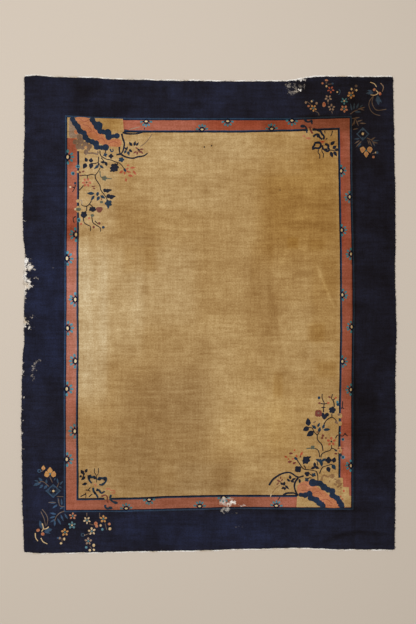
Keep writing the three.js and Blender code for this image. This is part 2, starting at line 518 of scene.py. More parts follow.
LOW_ROCK_SPRAY: list[Motif] = [
    Patch(
        Dye.GOLD,
        ((297.2, 494.4), (338.2, 494.4), (338.2, 477.8), (342.8, 477.8), (343.2, 487), (348.8, 487.2),
         (349.2, 495.6), (351.2, 496), (350.9, 507.2), (296.4, 507.2)),
        rounded=False,
    ),
    *many(Dot, Dye.SHADE,
        (332.2, 476.2, 2.4, 2.6, 20), (338, 481.6, 2.7, 2.1, 20), (340.2, 484.4, 2.1, 1.7, 30),
        (329.6, 481.4, 0.9, 1.3), (335.2, 484.4, 2, 1.1, 330), (338.2, 486.8, 1.6, 1.1, 20),
        (335.2, 479.2, 1.3, 0.9, 340), (341, 487.6, 1.1, 0.8),
    ),
    *strokes(Dye.SHADE, 2,
        (321.4, 480.2, 322.4, 476.8, 324.7, 475.3, 327.6, 476.8, 330.4, 475.8, 334.2, 474.8),
    ),
    Patch(
        Dye.ROCK_ORANGE,
        ((297.4, 486), (301, 482.4), (306, 481), (310, 481.5), (318, 487.5), (324, 491), (330, 496),
         (336, 501), (340.5, 507.2), (325, 507.2), (320, 500.5), (313, 496), (308, 493), (302, 493.5),
         (299, 494), (297.2, 490)),
    ),
    *strokes(Dye.CORAL, 0.8,
        (300, 485.2, 304.6, 484, 308, 486.6), (301.4, 490.4, 306.8, 490.6, 312, 488),
        (313.4, 492.6, 318.8, 491.4, 322.4, 496), (321.6, 500, 327.6, 499.6, 331.8, 503.6),
        (327.2, 505.2, 332.8, 505.4),
    ),
    RockChain(
        Dye.ROCK_BLUE,
        ((300.6, 494.8, 2.2), (305.4, 495.2, 2.9), (309.6, 493.6, 2.9), (310.8, 498, 3.1),
         (316.4, 500, 3.2), (319.2, 503, 3.2), (322.6, 505.6, 3)),
    ),
    RockChain(
        Dye.ROCK_BLUE,
        ((312.9, 482.7, 4), (320.3, 483.6, 3.1), (323.8, 487.1, 3.5), (328.2, 489.9, 2.9),
         (332.3, 491.2, 3.2), (332.4, 495.3, 3.1), (337.3, 498.2, 3), (339.4, 501.8, 3),
         (341.6, 505.2, 2.8)),
    ),
    *strokes(Dye.ROCK_BLUE, 6.2, (320.8, 503, 323.6, 507.8), (340.4, 503.4, 343, 507.8)),
    *many(Dot, Dye.RED, (343.8, 490.9, 1.1, 1.4), (342.4, 499, 0.9), (340.8, 496.6, 0.8, 1.2)),
    *strokes(Dye.LEAF_DARK, 2,
        (269.1, 485.3, 272, 480.6, 275.5, 477.4, 280.8, 474.2, 286, 472.6, 290.2, 472.7, 293.2, 474.3,
        296, 476.3, 299, 477.2, 303.8, 475.8),
        (298.2, 477.8, 295.4, 481.8, 294.4, 486, 295.4, 490.8, 298.2, 495.6),
        (283.4, 495.2, 286.2, 493.4, 290.8, 493, 294.8, 493.3, 298, 495.8),
    ),
    *strokes(Dye.SHADE, 0.8, (280.7, 484.7, 277.2, 487.1, 271.9, 493)),
    *strokes(Dye.PALE, 1.1, (271.2, 494, 270.4, 496.8)),
    *many(Leaf, Dye.LEAF_DARK,
        (299.7, 481.2, 4.7, 2.3, 275), (290.1, 477.1, 4.8, 2.3, 100), (288.4, 480.2, 4.6, 2.2, 140),
        (293.8, 479.2, 5.2, 2.1, 30), (292.4, 481.4, 4.8, 2.3, 335), (281.6, 483.6, 4.2, 2, 140),
        (284.2, 483.6, 4.4, 2.4, 80), (283, 488, 3.8, 2.3, 205), (284.8, 488.8, 3.4, 2.3, 250),
        (287.1, 487.4, 6, 2.2, 315), (309.4, 457.4, 4.4, 1.9, 25), (303.9, 462.8, 3.6, 2.2, 245),
        (314.7, 464.6, 5.4, 2.8, 100), (312.9, 468, 5.2, 2.6, 202), (317.1, 467.7, 5.2, 2.6, 332),
        (334.1, 459.9, 6, 3.8, 75), (328.5, 469.5, 6, 4.3, 290), (308.2, 421.9, 8.4, 4.8, 95),
        (306, 429, 7, 4.5, 205), (310.3, 433.7, 8.8, 5, 215), (324.4, 417, 5.6, 5.2, 265),
    ),
    *many(Lobed, Dye.LEAF_DARK,
        (306.2, 460, 4.1, 5, 60, 0.24), (298, 469.2, 3.6, 4, 130, 0.24), (328.5, 460.2, 3.4, 4, 90, 0.3),
        (307.2, 473.9, 2.7, 3, 160, 0.3), (332.3, 410, 3.7, 5, 80, 0.24),
    ),
    *many(Dot, Dye.LEAF_DARK, (322.6, 414.7, 2.1), (327, 414.8, 2.1)),
    *many(Leaf, Dye.LEAF_BLUE,
        (317.9, 460.1, 5.2, 2.6, 155), (323.8, 459.8, 5.4, 2.4, 35), (321.5, 463.8, 6.4, 2.9, 280),
        (333.8, 467.1, 6.8, 3.6, 305), (314, 427, 5.9, 2.6, 140), (318.7, 424.9, 5, 2.3, 60),
        (319.5, 429.6, 5.8, 2.6, 75), (323.6, 426.2, 5.9, 2.5, 70), (326.8, 429.6, 7.3, 2.8, 5),
    ),
    *many(Lobed, Dye.LEAF_BLUE,
        (313.8, 474.8, 2.2, 4, 60, 0.4), (306.8, 479.7, 2.3, 4, 40, 0.35), (320.6, 461, 2.2, 3, 90),
    ),
    *many(Dot, Dye.LEAF_BLUE, (295.9, 458.6, 2.1, 1.4, 320), (335.9, 450.4, 1.6, 1, 330)),
    *strokes(Dye.STEM, 1.15,
        (296.8, 459.5, 299.5, 463.6, 301.8, 467.1, 304.1, 469.2, 308.3, 469.8, 312.9, 470.4, 316.4, 471.4),
        (303.6, 465.4, 305.4, 467.4, 305.2, 469.2), (316.4, 471.2, 317.6, 475.3, 317.9, 480.6),
        (319.7, 473.6, 320.6, 470.6, 322.9, 467.1, 327, 465.7, 332, 464.2),
        (313, 476.8, 311.2, 474.8, 309, 473.8), (306.8, 479, 309.6, 477.8, 311.4, 478),
        (317.1, 461.8, 317.9, 465.6), (319.7, 457.4, 319.1, 453, 317.6, 449.8, 314.1, 448.3), (320.9, 457.4,
        321.8, 454.2, 325.3, 451.9, 330, 450.4, 331.5, 448.4, 334.2, 449, 336.4, 450.7),
        (331.6, 448.4, 331.5, 445.2), (322.9, 450.8, 322.4, 446.6, 321.2, 443.8, 318.8, 441.4, 317.2, 438.6,
        317.2, 435.4, 314, 431.7, 312.2, 428.2, 308.6, 427.4), (317.2, 435.4, 318.8, 432.8, 319.6, 430.6),
        (323.9, 424.2, 327, 419.8, 331.9, 417.3, 335.2, 419.4, 337.3, 422.7), (331.9, 417.4, 331.9, 413.4),
        (323.6, 412.4, 323.6, 407.6, 324.2, 403.1, 322.1, 398.2, 322.2, 393.8),
        (321.4, 407.6, 325.6, 407.4), (319.6, 403.1, 324, 404, 328.2, 402.8),
        (334.2, 407, 334, 403.1, 333.1, 400.7, 331.5, 398.2, 332.6, 394.2), (333, 400.4, 335.4, 398),
        (335.6, 438.4, 336.8, 435.8, 339.3, 434.9, 342.5, 436.2, 345.4, 432.7), (345, 433.8, 347.6, 436.2),
        (342.7, 401.2, 342.5, 407.6, 344.2, 408.8), (342.5, 407.2, 341.2, 408.8),
        (279.9, 497.4, 277.8, 500),
    ),
    *many(Leaf, Dye.RED,
        (301.6, 453.6, 4.8, 2, 60), (296.5, 455.8, 3.2, 1.5, 100), (286, 456.9, 3.6, 1.7, 330),
        (288.6, 459, 2.4, 1.3, 60), (293, 459, 3, 1.3, 10), (294.6, 450.2, 2.8, 1.3, 60),
    ),
    *many(Leaf, Dye.DARK_RED,
        (291, 453.4, 4.4, 2, 5), (300.4, 456.4, 2.8, 1.5, 80), (289.8, 461.8, 5, 2, 8),
        (294.4, 463, 4.2, 2, 30), (279.6, 481.6, 4.6, 1.2, 20),
    ),
    Bloom(Dye.RED, Dye.STEM, 331.3, 441.5, 4.6, 5, 90, 2.5, 1),
    Lobed(Dye.GREY_GREEN, 312.8, 447.4, 2.3, 4, 45, 0.4),
    *strokes(Dye.GREY_GREEN, 1.3, (311.8, 448, 306.4, 448.7)),
    Lobed(Dye.DARK_RED, 318.4, 413.4, 3.9, 4, 45, 0.18),
    Dot(Dye.CLOUD, 318.5, 413, 1.1),
    *many(Dot, Dye.DARK_RED,
        (322.9, 435.6, 1.3), (322.2, 438, 1.2), (326, 438, 1.1, 0.8), (317.2, 432.1, 0.8),
        (319.5, 403.1, 1.4, 1), (329.5, 397.1, 1.5, 0.9, 340), (335.8, 453.6, 1.6, 1),
        (282, 480, 1.4, 0.7, 60), (278.2, 480.4, 1.6, 0.8, 345), (277.6, 484, 1.5, 0.7, 20),
        (280.6, 477.8, 0.7, 1.3),
    ),
    *many(Dot, Dye.GOLD, (340, 415.8, 2.2, 2.6), (340, 423.6, 2, 2.3), (339.8, 450, 2, 3.6)),
    *many(Dot, Dye.DARK_RED, (338.5, 448.3, 1.2, 0.8), (342.3, 448.4, 1.6, 0.6)),
    *many(Dot, Dye.RED, (328.3, 402.9, 1.4, 1), (335.7, 397.9, 1.4, 0.9, 40), (339.8, 451.2, 1)),
    *many(Dot, Dye.CLOUD,
        (339, 414.7, 1.7, 1.3), (336.4, 422.4, 2, 1.2, 320), (314.6, 422.1, 1.7, 0.7, 30),
    ),
    *many(Dot, Dye.LEAF_BLUE, (339.9, 420, 1.3, 1.6), (319.1, 397.8, 1.5, 1.6), (338, 404.5, 1.7)),
    *many(Dot, Dye.TEAL, (337.4, 402.1, 1.4), (342.9, 439.4, 1.6), (343, 457.2, 1.9), (340.2, 432.9, 0.9)),
    *many(Dot, Dye.LEAF_BLUE, (342.9, 439.4, 1.1), (343, 457.2, 1.2), (340.4, 455, 1.7)),
]

HIGH_ROCK_SPRAY: list[Motif] = [
    Patch(
        Dye.GOLD,
        ((67.3, 117.4), (122.8, 118.8), (124, 132.8), (79.8, 132.8), (79.8, 151), (77, 151), (76.6, 138.2),
         (67.3, 137.8)),
        rounded=False,
    ),
    Patch(
        Dye.ASH,
        ((69.2, 119), (71.6, 121), (75, 127.4), (79, 132.6), (82.4, 136.4), (79.5, 139.6), (74, 138),
         (69.2, 136.6), (69, 128)),
    ),
    *many(Dot, Dye.ROCK_ORANGE, (75.8, 132.1, 1.5, 2.4, 30), (75.8, 138.4, 1.2, 1)),
    *many(Dot, Dye.CLOUD,
        (79.2, 136.9, 2.7), (75.2, 141.9, 2.6), (80.4, 141.3, 3.4), (78.6, 146.4, 3.1), (85.5, 144.3, 3),
        (82.6, 147.6, 2.2), (89.6, 146.4, 2.5), (88.4, 149, 2), (86.1, 152.2, 2.3, 2.8),
    ),
    *strokes(Dye.CLOUD, 1.8, (88, 153.4, 93, 153, 97.6, 154.2, 97.8, 150.8)),
    *many(Dot, Dye.YELLOW, (85.7, 147.3, 1.4)),
    Patch(
        Dye.ROCK_ORANGE,
        ((75.6, 117.6), (88.6, 118), (92.5, 123.5), (97, 129.5), (103, 134), (106.5, 139.2), (112, 139),
         (119, 139), (121.8, 142.4), (119.4, 146.6), (109, 146.2), (101, 144), (95, 140), (88, 136),
         (83.5, 130.5), (79, 124)),
    ),
    *strokes(Dye.CORAL, 0.8,
        (80.4, 119.4, 84.8, 121.6, 88.6, 120), (82.6, 124.6, 88, 126, 91.8, 130.6),
        (88.4, 132.4, 93.4, 131, 97.8, 135.4), (97.6, 139.6, 102.4, 138.2, 105.2, 142.6),
        (108.6, 143.4, 113.8, 141.4, 118.6, 143.6),
    ),
    RockChain(
        Dye.ROCK_BLUE,
        ((72.6, 119.6, 2.7), (74.6, 122.9, 2.9), (77.8, 126.6, 3.1), (79.8, 130.9, 3), (84.1, 133.2, 2.9),
         (85.5, 137.3, 3.1), (87.8, 140.1, 2.6), (92.4, 141.9, 2.9), (95.9, 143.6, 3.3), (96.7, 147, 2.9),
         (101.6, 147.6, 2.4), (105.6, 147.3, 3.4)),
    ),
    RockChain(
        Dye.ROCK_BLUE,
        ((92.4, 119.8, 3), (94.1, 122.9, 2.7), (98.2, 125.8, 4.6), (100.2, 131.5, 2.7), (103.3, 131.8, 2.6),
         (107.9, 132.7, 3.7), (108.8, 136.7, 3.4), (113.1, 136.1, 2.1), (117.1, 135.8, 2.8)),
    ),
    *strokes(Dye.ROCK_BLUE, 5.2, (71.6, 117.2, 73.6, 121.6), (91.2, 117.8, 93.4, 122)),
    *strokes(Dye.LEAF_DARK, 1.9,
        (121.7, 133.6, 122.6, 137.8, 124.3, 143, 124, 146.6, 122.9, 151, 120.4, 154.6),
        (119.4, 146.8, 119.4, 151, 120.4, 154.4), (116.3, 154.7, 120.6, 154.2, 124, 156.2, 128, 157.6,
        133.2, 158.2, 137.8, 156.8, 143.5, 155.9, 147.6, 153.2),
        (122.7, 132.1, 125.7, 133.5, 132.4, 133.9, 138.4, 133.4, 143.8, 131.6),
    ),
    *strokes(Dye.ASH, 0.9, (129.4, 129.4, 134, 128.2, 139.8, 126.8)),
    *strokes(Dye.LEAF_DARK, 1, (124.2, 129.7, 128.6, 130.2), (144.4, 127.6, 144.4, 129.6)),
    *strokes(Dye.CLOUD, 0.9, (140.4, 146.5, 145.2, 143, 149.8, 137.6, 152, 133.8)),
    *many(Leaf, Dye.LEAF_DARK,
        (130.6, 143.9, 5.4, 2.6, 130), (134.8, 143.3, 5.4, 2.3, 75), (137.4, 144, 4.6, 1.9, 55),
        (125.8, 148.6, 4.4, 2.1, 140), (127.2, 147.8, 3, 1.4, 80), (130.6, 150.8, 4.6, 2.4, 320),
        (138.8, 149.9, 3.4, 1.8, 330), (111.4, 170.6, 4, 2.3, 215), (86.1, 159.6, 5, 3.3, 115),
        (91, 160.2, 5, 3.7, 80), (84.7, 166, 6.4, 3.9, 240), (91, 166, 6, 4.1, 260),
        (103.9, 162.3, 7.6, 2.3, 355), (106.2, 164, 5, 2.6, 290), (109.4, 190.3, 6, 2.6, 8),
        (113, 196.5, 6, 2.6, 5),
    ),
    *many(Dot, Dye.LEAF_DARK,
        (104.9, 190.4, 2), (107.4, 190.8, 2.1), (108.5, 196.2, 2.2), (111.3, 196.9, 2.3),
    ),
    *many(Lobed, Dye.LEAF_DARK,
        (111, 156.2, 2.6, 4, 0, 0.4), (114.5, 167.6, 4.6, 6, 10, 0.26),
        (92.6, 209.3, 3.8, 5, 270, 0.22, 0.72), (83.9, 214.6, 3.5, 5, 270, 0.2),
    ),
    *many(Leaf, Dye.LEAF_BLUE,
        (125.2, 151.8, 4.3, 2.2, 235), (128.5, 153.4, 5, 2.3, 285), (96.4, 167.1, 6.4, 2.5, 220),
        (101.6, 166.8, 5.4, 2.2, 325), (90.6, 193.4, 7.8, 2.8, 178), (97.5, 194.1, 4.9, 2.7, 255),
        (92.6, 198.1, 6.4, 2.5, 235), (98.1, 198.6, 5.6, 2.6, 240), (102.8, 197, 6, 2.7, 330),
        (108.4, 207, 4.4, 1.9, 250),
    ),
    *many(Lobed, Dye.LEAF_BLUE,
        (105.3, 154.8, 2.2, 4, 20, 0.4), (121.4, 159.6, 3.1, 5, 70, 0.26, 0.85),
        (108.5, 203.3, 3.8, 5, 40, 0.3),
    ),
    *strokes(Dye.LEAF_BLUE, 1.5, (110.2, 149, 111.2, 151.6, 113.2, 151, 112.6, 149)),
    *many(Dot, Dye.LEAF_BLUE, (98.7, 164.2, 1.2), (124.9, 170, 1.4, 2, 30), (103.3, 227.3, 1.6, 1.4)),
    *many(Leaf, Dye.DARK_RED,
        (141.8, 149.2, 4.2, 1.7, 10), (141.6, 152.4, 4.6, 1.9, 320), (137.2, 153.4, 4.2, 1.7, 260),
        (134.8, 152.4, 4.4, 1.6, 210), (136.6, 148, 3.6, 1.4, 150), (139.2, 151.6, 3, 1.5, 300),
        (93.7, 186.3, 5, 1.1, 5), (94.1, 188.5, 3.6, 1.2, 345),
    ),
    Lobed(Dye.DARK_RED, 99.3, 209.5, 3.8, 3, 270, 0.28, 0.85),
    *strokes(Dye.STEM, 1.1,
        (99.9, 150.5, 100.2, 154.5, 102.2, 156.8, 106.2, 159.1, 110.8, 159.9, 115.4, 161.9, 119.4, 163.1,
        122.3, 166, 124.6, 169.4), (105.4, 150.6, 105.4, 153.4), (117.6, 162.8, 117.2, 165.2),
        (98.7, 156.6, 98.5, 161.9, 98.7, 165.4), (90.6, 163.4, 95.6, 163.4, 98.6, 161.8),
        (101, 157.6, 104.2, 161.4), (80, 175.8, 85, 175.1, 87.3, 175.4, 91.9, 174.3, 95.3, 174.9,
        98.7, 170.6, 100.2, 167.8), (87.3, 175.5, 87.3, 179), (95.3, 174.4, 95.5, 178.5, 97.7, 182,
        99.9, 185.6, 100.6, 189.6, 103.1, 193.2, 105.8, 196.8, 107.6, 200.8),
        (91.5, 200.6, 89.5, 203.9, 86.8, 206.1, 83.4, 205.9, 81.2, 204.4), (89.5, 203.9, 93.2, 207.4),
        (86.7, 206.1, 86.6, 209.7, 85, 212.8),
        (83.2, 217.4, 84.3, 222.7, 88.3, 225.3, 90.6, 226.7, 90.3, 231.3),
        (91.8, 216.6, 92.8, 222.2, 95.9, 224.9, 100.4, 228, 100.4, 231.6), (94.8, 220.8, 97.8, 223.8),
        (75.4, 185, 74.5, 188.3, 72.4, 192), (72.4, 187, 74.8, 188),
        (83.4, 185.4, 81.2, 188.3, 77.6, 191.6), (75.8, 216.4, 73.6, 217.8, 73.2, 220.4, 74.4, 223.2),
    ),
    *strokes(Dye.GREY_GREEN, 1.2, (99.8, 171, 100.6, 176.4, 103, 178.2), (106, 178.4, 111.8, 178.8)),
    Lobed(Dye.GREY_GREEN, 104.5, 178.2, 2.7, 5, 0, 0.25),
    Bloom(Dye.RED, Dye.DARK_RED, 86.6, 182.4, 4.7, 6, 0, 2.5, 1.1),
    *many(Leaf, Dye.RED,
        (132.8, 167.7, 6, 1.9, 8), (127.4, 168.8, 4, 1.6, 30), (121.1, 172, 5.2, 2.1, 215),
        (124.6, 173.2, 3.6, 1.9, 270), (128.6, 171.8, 5.4, 1.8, 340), (134.6, 172.8, 5.6, 2, 305),
        (130.6, 175.7, 5.8, 2.2, 345), (128.2, 165.3, 3.2, 1.4, 10), (126, 180, 4, 1.9, 275),
    ),
    *many(Dot, Dye.GOLD, (78.2, 171.8, 1.8, 1.2), (78, 201, 2, 1.7), (78, 209.2, 2, 3.4)),
    *many(Dot, Dye.GREY_GREEN, (78.3, 209.3, 2.8, 1.7), (101.5, 202.1, 1.9, 1.4), (92.4, 215.4, 2, 1.5)),
    *many(Dot, Dye.PALE, (75.2, 209.2, 1.1, 1.3), (70.2, 186.9, 1)),
    *strokes(Dye.ASH, 1.1, (81.6, 204.2, 82, 201, 80, 200.2, 79, 202)),
    *many(Dot, Dye.DARK_RED,
        (79.8, 172.3, 1.5, 1.1, 320), (83.2, 171.5, 1.5, 1, 30), (80.6, 175.6, 1.2, 0.8),
        (99.3, 223.3, 1.4), (93.7, 227.1, 1.3), (101.4, 199.2, 0.7, 1.1),
    ),
    *many(Dot, Dye.RED, (81.2, 223.8, 1.2), (89, 218.2, 1.1)),
    *many(Dot, Dye.TEAL, (77.8, 166.5, 2.4, 1.7), (72.9, 173.4, 2), (78.7, 220, 1.8, 2.3)),
    *many(Dot, Dye.LEAF_BLUE,
        (77.8, 166.5, 1.3, 0.9), (73.2, 173.5, 1.2), (75.2, 183.2, 1.3), (78.8, 220.2, 1, 1.4),
    ),
]

TOP_BORDER_SPRAY: list[Motif] = [
    *many(Blade, Dye.DIM_BLUE,
        (352, 110.8, 350.4, 103.4, 1.6), (353.8, 109.6, 354.4, 102.4, 1.6),
        (356.6, 108.6, 358.6, 102.9, 1.7), (359.8, 107.4, 363, 104.6, 1.3), (354, 111.4, 361.2, 112.2, 1.6),
        (360, 138.6, 353.4, 139.2, 1.5), (361.2, 143.4, 358, 147.2, 1.3), (372.6, 140.8, 379.6, 140.6, 1),
        (372.4, 141.6, 375.2, 146.8, 1.2), (373.6, 92.6, 365.6, 93.4, 3), (372.4, 91, 367, 90.4, 1.4),
        (377.6, 95.4, 378.6, 105, 4.2), (379.4, 98.6, 381.6, 103, 1.4),
    ),
    *many(Blade, Dye.DIM_TAN,
        (357.6, 109.4, 365.4, 107, 1.5), (353, 118.6, 360, 117.2, 1.2), (354.6, 119, 354, 125.4, 1.2),
        (356.2, 120.4, 358.6, 126.2, 1.2), (359.4, 123.2, 366.2, 123.5, 1.3),
        (352.8, 129.6, 358.4, 128.4, 1.1), (357, 121.6, 362.6, 120, 1.2), (354.2, 121.6, 351.8, 126.4, 1.1),
        (371.8, 141.8, 378.2, 143.4, 1.2), (361.6, 141, 355.6, 147.4, 1.2), (369, 139.8, 372.2, 146.8, 1.1),
        (359.4, 108.4, 364.2, 110.4, 1.2), (359.6, 140.4, 354, 144, 1.2), (370.6, 140.4, 375.4, 137, 1.3),
        (367.6, 139.6, 369.4, 145.4, 1.1),
    ),
    *strokes(Dye.DIM_TAN, 0.9,
        (350.4, 114, 354, 111.4, 357.6, 110), (352.2, 118.4, 355.2, 119, 357.6, 123.8),
        (366.8, 138, 371.8, 140.4, 374.4, 145.2), (315, 111.2, 318.2, 112.8, 319.1, 115.6),
        (327.9, 102, 328.2, 104.4), (331.6, 111, 332.4, 113.6), (328.2, 84.3, 332.4, 83.9),
        (307, 101.6, 311, 104.6), (354.6, 88.4, 354, 91.4), (349, 98.4, 348, 99.6),
        (372.2, 153.8, 375.2, 152.8),
        (373.2, 96.2, 369.9, 100.4, 368.9, 105.2, 371, 110.8, 375, 114.2, 380.2, 115.5),
        (373.4, 96.2, 372, 102.2, 374.2, 108, 377.9, 110.3, 386.4, 109.2),
    ),
    *many(Lozenge, Dye.DIM_BLUE, (362.8, 134, 6.6, 6.8)),
    *many(Lozenge, Dye.BORDER, (362.8, 134, 5, 5.1)),
    *many(Lozenge, Dye.DIM_BLUE, (362.8, 129.4, 1.8, 1.6), (362.8, 138.6, 1.8, 1.6)),
    Dot(Dye.CREAM, 362.8, 133.8, 1.3, 1.4),
    Bloom(Dye.RED, Dye.LEAF_BLUE, 330.7, 89.7, 3.6, 5, 270, 1.5, 0.8),
    Bloom(Dye.ASH, Dye.BORDER, 328.2, 98.3),
    Bloom(Dye.ASH, Dye.BORDER, 331.5, 107.5, turn=90),
    Bloom(Dye.YELLOW, Dye.TEAL, 313.2, 108.2),
    Bloom(Dye.TEAL, Dye.PALE, 344.2, 101, plump=1.6),
    Bloom(Dye.ORANGE, Dye.TEAL, 344.1, 108.8, 3.8, 5, 270, 2.2),
    Bloom(Dye.YELLOW, Dye.SKY, 351.1, 95, 3.8, 5, 270, 2.1),
    *many(Dot, Dye.ORANGE,
        (326.4, 80.3, 1.7, 1), (322.5, 83.3, 1.1), (308.5, 106.1, 1.2), (373.4, 157, 1.3),
        (324, 104.6, 1.7, 2.5), (374.3, 89.6, 1.6, 1.3, 45), (380, 93.6, 1.4, 1.8, 20),
    ),
    *many(Dot, Dye.RED, (324.4, 104.2, 0.9, 1.3), (380.4, 94.2, 0.8)),
    *many(Dot, Dye.CREAM,
        (326.4, 86.2, 1), (351.6, 89.1, 1, 1.3), (356.4, 90.2, 1.1), (311.7, 101.3, 0.9, 1.1),
        (337.2, 92, 0.9), (375.8, 152.5, 0.8),
    ),
    *many(Dot, Dye.ASH, (305.8, 102.5, 1.1, 1.4), (316.5, 103.4, 1.3, 1.4)),
    *many(Dot, Dye.DIM_TAN, (356.1, 86, 1.4), (326.4, 82.8, 0.9, 0.7)),
    *many(Dot, Dye.DIM_BLUE, (332.6, 83.6, 1.3, 1), (313, 100.4, 1), (377.2, 152.5, 1.3)),
    *strokes(Dye.DIM_BLUE, 1.2, (338.6, 89.6, 340.4, 91.4, 338.6, 95)),
    *many(Leaf, Dye.YELLOW, (362.6, 149.8, 6.6, 4.8, 260), (369.8, 149.8, 6.6, 4.8, 280)),
    Leaf(Dye.YELLOW, 366.2, 154.2, 6.8, 4.2, 270),
    *many(Dot, Dye.ORANGE, (362.2, 149.8, 1, 1.6), (369.9, 149.8, 1, 1.6), (366.3, 154, 0.8, 1.5)),
    Dot(Dye.TEAL, 366.2, 150.8, 0.9),
    *strokes(Dye.CREAM, 0.9,
        (370.2, 82.2, 374.3, 83.7, 376.6, 87), (376, 90.4, 378.2, 93, 374.6, 95.2, 370.6, 94.8),
    ),
    *strokes(Dye.ASH, 0.9, (380.5, 83, 383.4, 86.8, 382.2, 91.6)),
]

LOW_BORDER_SPRAY: list[Motif] = [
    *many(Blade, Dye.DIM_BLUE,
        (41, 482.2, 33.2, 485.8, 3), (38.4, 481.4, 34.4, 480.2, 1.5), (42.4, 481.4, 38.6, 477.6, 2.2),
        (43, 484.6, 39.4, 488.2, 2.2), (47.4, 485, 43.8, 489, 2.2), (46.2, 483.6, 46.6, 479, 1.9),
        (58.2, 483.6, 57, 477.8, 1.6), (59.8, 484.6, 63, 481, 1.5), (58.6, 486.2, 62.2, 488.2, 1.6),
        (54.4, 480.4, 55.4, 477.6, 1.2), (56.4, 502.6, 47.8, 502.4, 2), (57.4, 504.6, 52.2, 508.4, 1.8),
        (59.2, 504.4, 57.8, 497.2, 1.6), (62, 505.4, 61.4, 498.2, 1.6), (63.6, 506.6, 59.8, 509, 1.5),
        (56.2, 514.2, 49.8, 512.8, 1.8), (55.6, 516.2, 49.4, 518.2, 1.8), (55.4, 519.2, 49.8, 522.4, 1.6),
        (55, 520, 54.6, 526.4, 1.8), (57.4, 518.2, 61, 524.8, 1.7), (60.8, 514.8, 63.6, 521.2, 1.6),
        (64.6, 513.4, 68, 519.4, 1.6), (42.4, 528.6, 39.6, 520.2, 3.6), (44.6, 530.6, 52.4, 529.4, 3.4),
        (44, 531.6, 50.6, 533.4, 1.6),
    ),
    *strokes(Dye.DIM_TAN, 0.9,
        (38.6, 483, 42.6, 481.4, 49, 486.4), (49.8, 476.6, 52.4, 482.6), (56.8, 487.8, 59, 482.6),
        (57, 496.4, 63.4, 496.6), (58.4, 498.6, 59.8, 505.6, 64.6, 506.6), (48.6, 502.4, 55.8, 502.6),
        (64.4, 511.2, 60, 512.8, 56.4, 516.4, 54.8, 520.8), (86.8, 512.8, 86.9, 516.4),
        (99.8, 512.8, 99.4, 517.6), (105.2, 523.6, 106.8, 530), (89.2, 523.8, 93.6, 525),
        (84.6, 535.2, 89.2, 533.6), (89.8, 546.4, 92, 548.8), (43.4, 470.2, 41, 471.6),
        (62.2, 538.2, 62, 541.8), (41, 511.6, 44.2, 519, 45.6, 526.2),
        (42.2, 509.3, 46.2, 514.4, 47.8, 519.5, 46.6, 525.6),
    ),
    *many(Lozenge, Dye.DIM_BLUE, (53.2, 490.9, 7.8, 7)),
    *many(Lozenge, Dye.BORDER, (53.2, 490.9, 6, 5.2)),
    *many(Lozenge, Dye.DIM_BLUE,
        (49.4, 490.9, 1.9, 1.6), (57, 490.9, 1.9, 1.6), (53.2, 487.6, 1.6, 1.5), (53.2, 494.2, 1.6, 1.5),
    ),
    *many(Dot, Dye.BORDER, (49.4, 490.9, 0.8), (57, 490.9, 0.8), (53.2, 487.6, 0.8), (53.2, 494.2, 0.8)),
    Dot(Dye.CREAM, 53.4, 491, 1.3, 1.2),
    Bloom(Dye.ORANGE, Dye.TEAL, 72.7, 516, 3.7, 5, 90),
    Bloom(Dye.SKY, Dye.PALE, 72, 525.2, 3.9, 5, 90, 2.2, 0.9),
    Bloom(Dye.YELLOW, Dye.TEAL, 64.9, 532.3, 3.9, 5, 90, 2.1, 0.9),
    Bloom(Dye.PALE, Dye.TEAL, 87, 520.2, 3.8, 5, 270, 1.7, 0.9),
    Bloom(Dye.PALE, Dye.SKY, 91.9, 531.2, 4, 5, 100, 1.9, 0.9),
    Bloom(Dye.ASH, Dye.TEAL, 88.3, 541.1, 3.8, 5, 90, 2, 0.9),
    Bloom(Dye.YELLOW, Dye.TEAL, 103.3, 518.9, 3.8, 5, 90, 2.1, 0.9),
    *many(Dot, Dye.ORANGE,
        (95.8, 523.6, 1.8, 2), (96.6, 526, 1.6), (109.3, 524, 1.4), (38, 530.2, 1.9, 1.6),
        (42.8, 533.9, 1.8, 1.7),
    ),
    *many(Dot, Dye.RED, (95.8, 523.4, 0.9), (43.2, 534.2, 0.8)),
    *many(Dot, Dye.ASH, (59.8, 538.2, 1.2)),
    *many(Dot, Dye.CREAM,
        (64.3, 539, 1, 1.5), (61, 543.2, 1.3, 1.1), (84.2, 534.9, 0.8), (93.7, 545.3, 1.4, 1.7),
        (89.8, 550.2, 1.3), (93.9, 549.8, 1.3, 1, 320), (100.6, 525.4, 1.2), (109.9, 528.8, 1.4, 1.6),
    ),
    *many(Dot, Dye.SKY, (86.2, 547.3, 1.3), (102.4, 529.4, 1.3)),
    *many(Dot, Dye.DIM_BLUE, (58, 538, 1.2, 0.9), (39.2, 471, 2), (82.7, 534.8, 2)),
    *many(Dot, Dye.BORDER, (39.4, 471, 1), (83, 534.8, 1)),
    *many(Leaf, Dye.YELLOW,
        (46.8, 474.1, 6.4, 4.8, 100), (53.6, 474.1, 6.4, 4.8, 80), (50, 470.2, 6.4, 4.4, 90),
        (43.4, 467.7, 4.8, 3.4, 90),
    ),
    *many(Dot, Dye.ORANGE, (43.4, 468.2, 0.8, 1), (54, 473.6, 0.8, 0.9)),
    Dot(Dye.SKY, 49.9, 473.9, 0.9),
    *strokes(Dye.CREAM, 1.05,
        (35.3, 533, 35.7, 537.8, 38, 541), (41, 538, 43.1, 541.7, 47.4, 543.8),
        (42.2, 523.4, 43.4, 528.2, 41.6, 531.4), (48.8, 526.8, 46, 528.8, 43, 528.8),
    ),
]

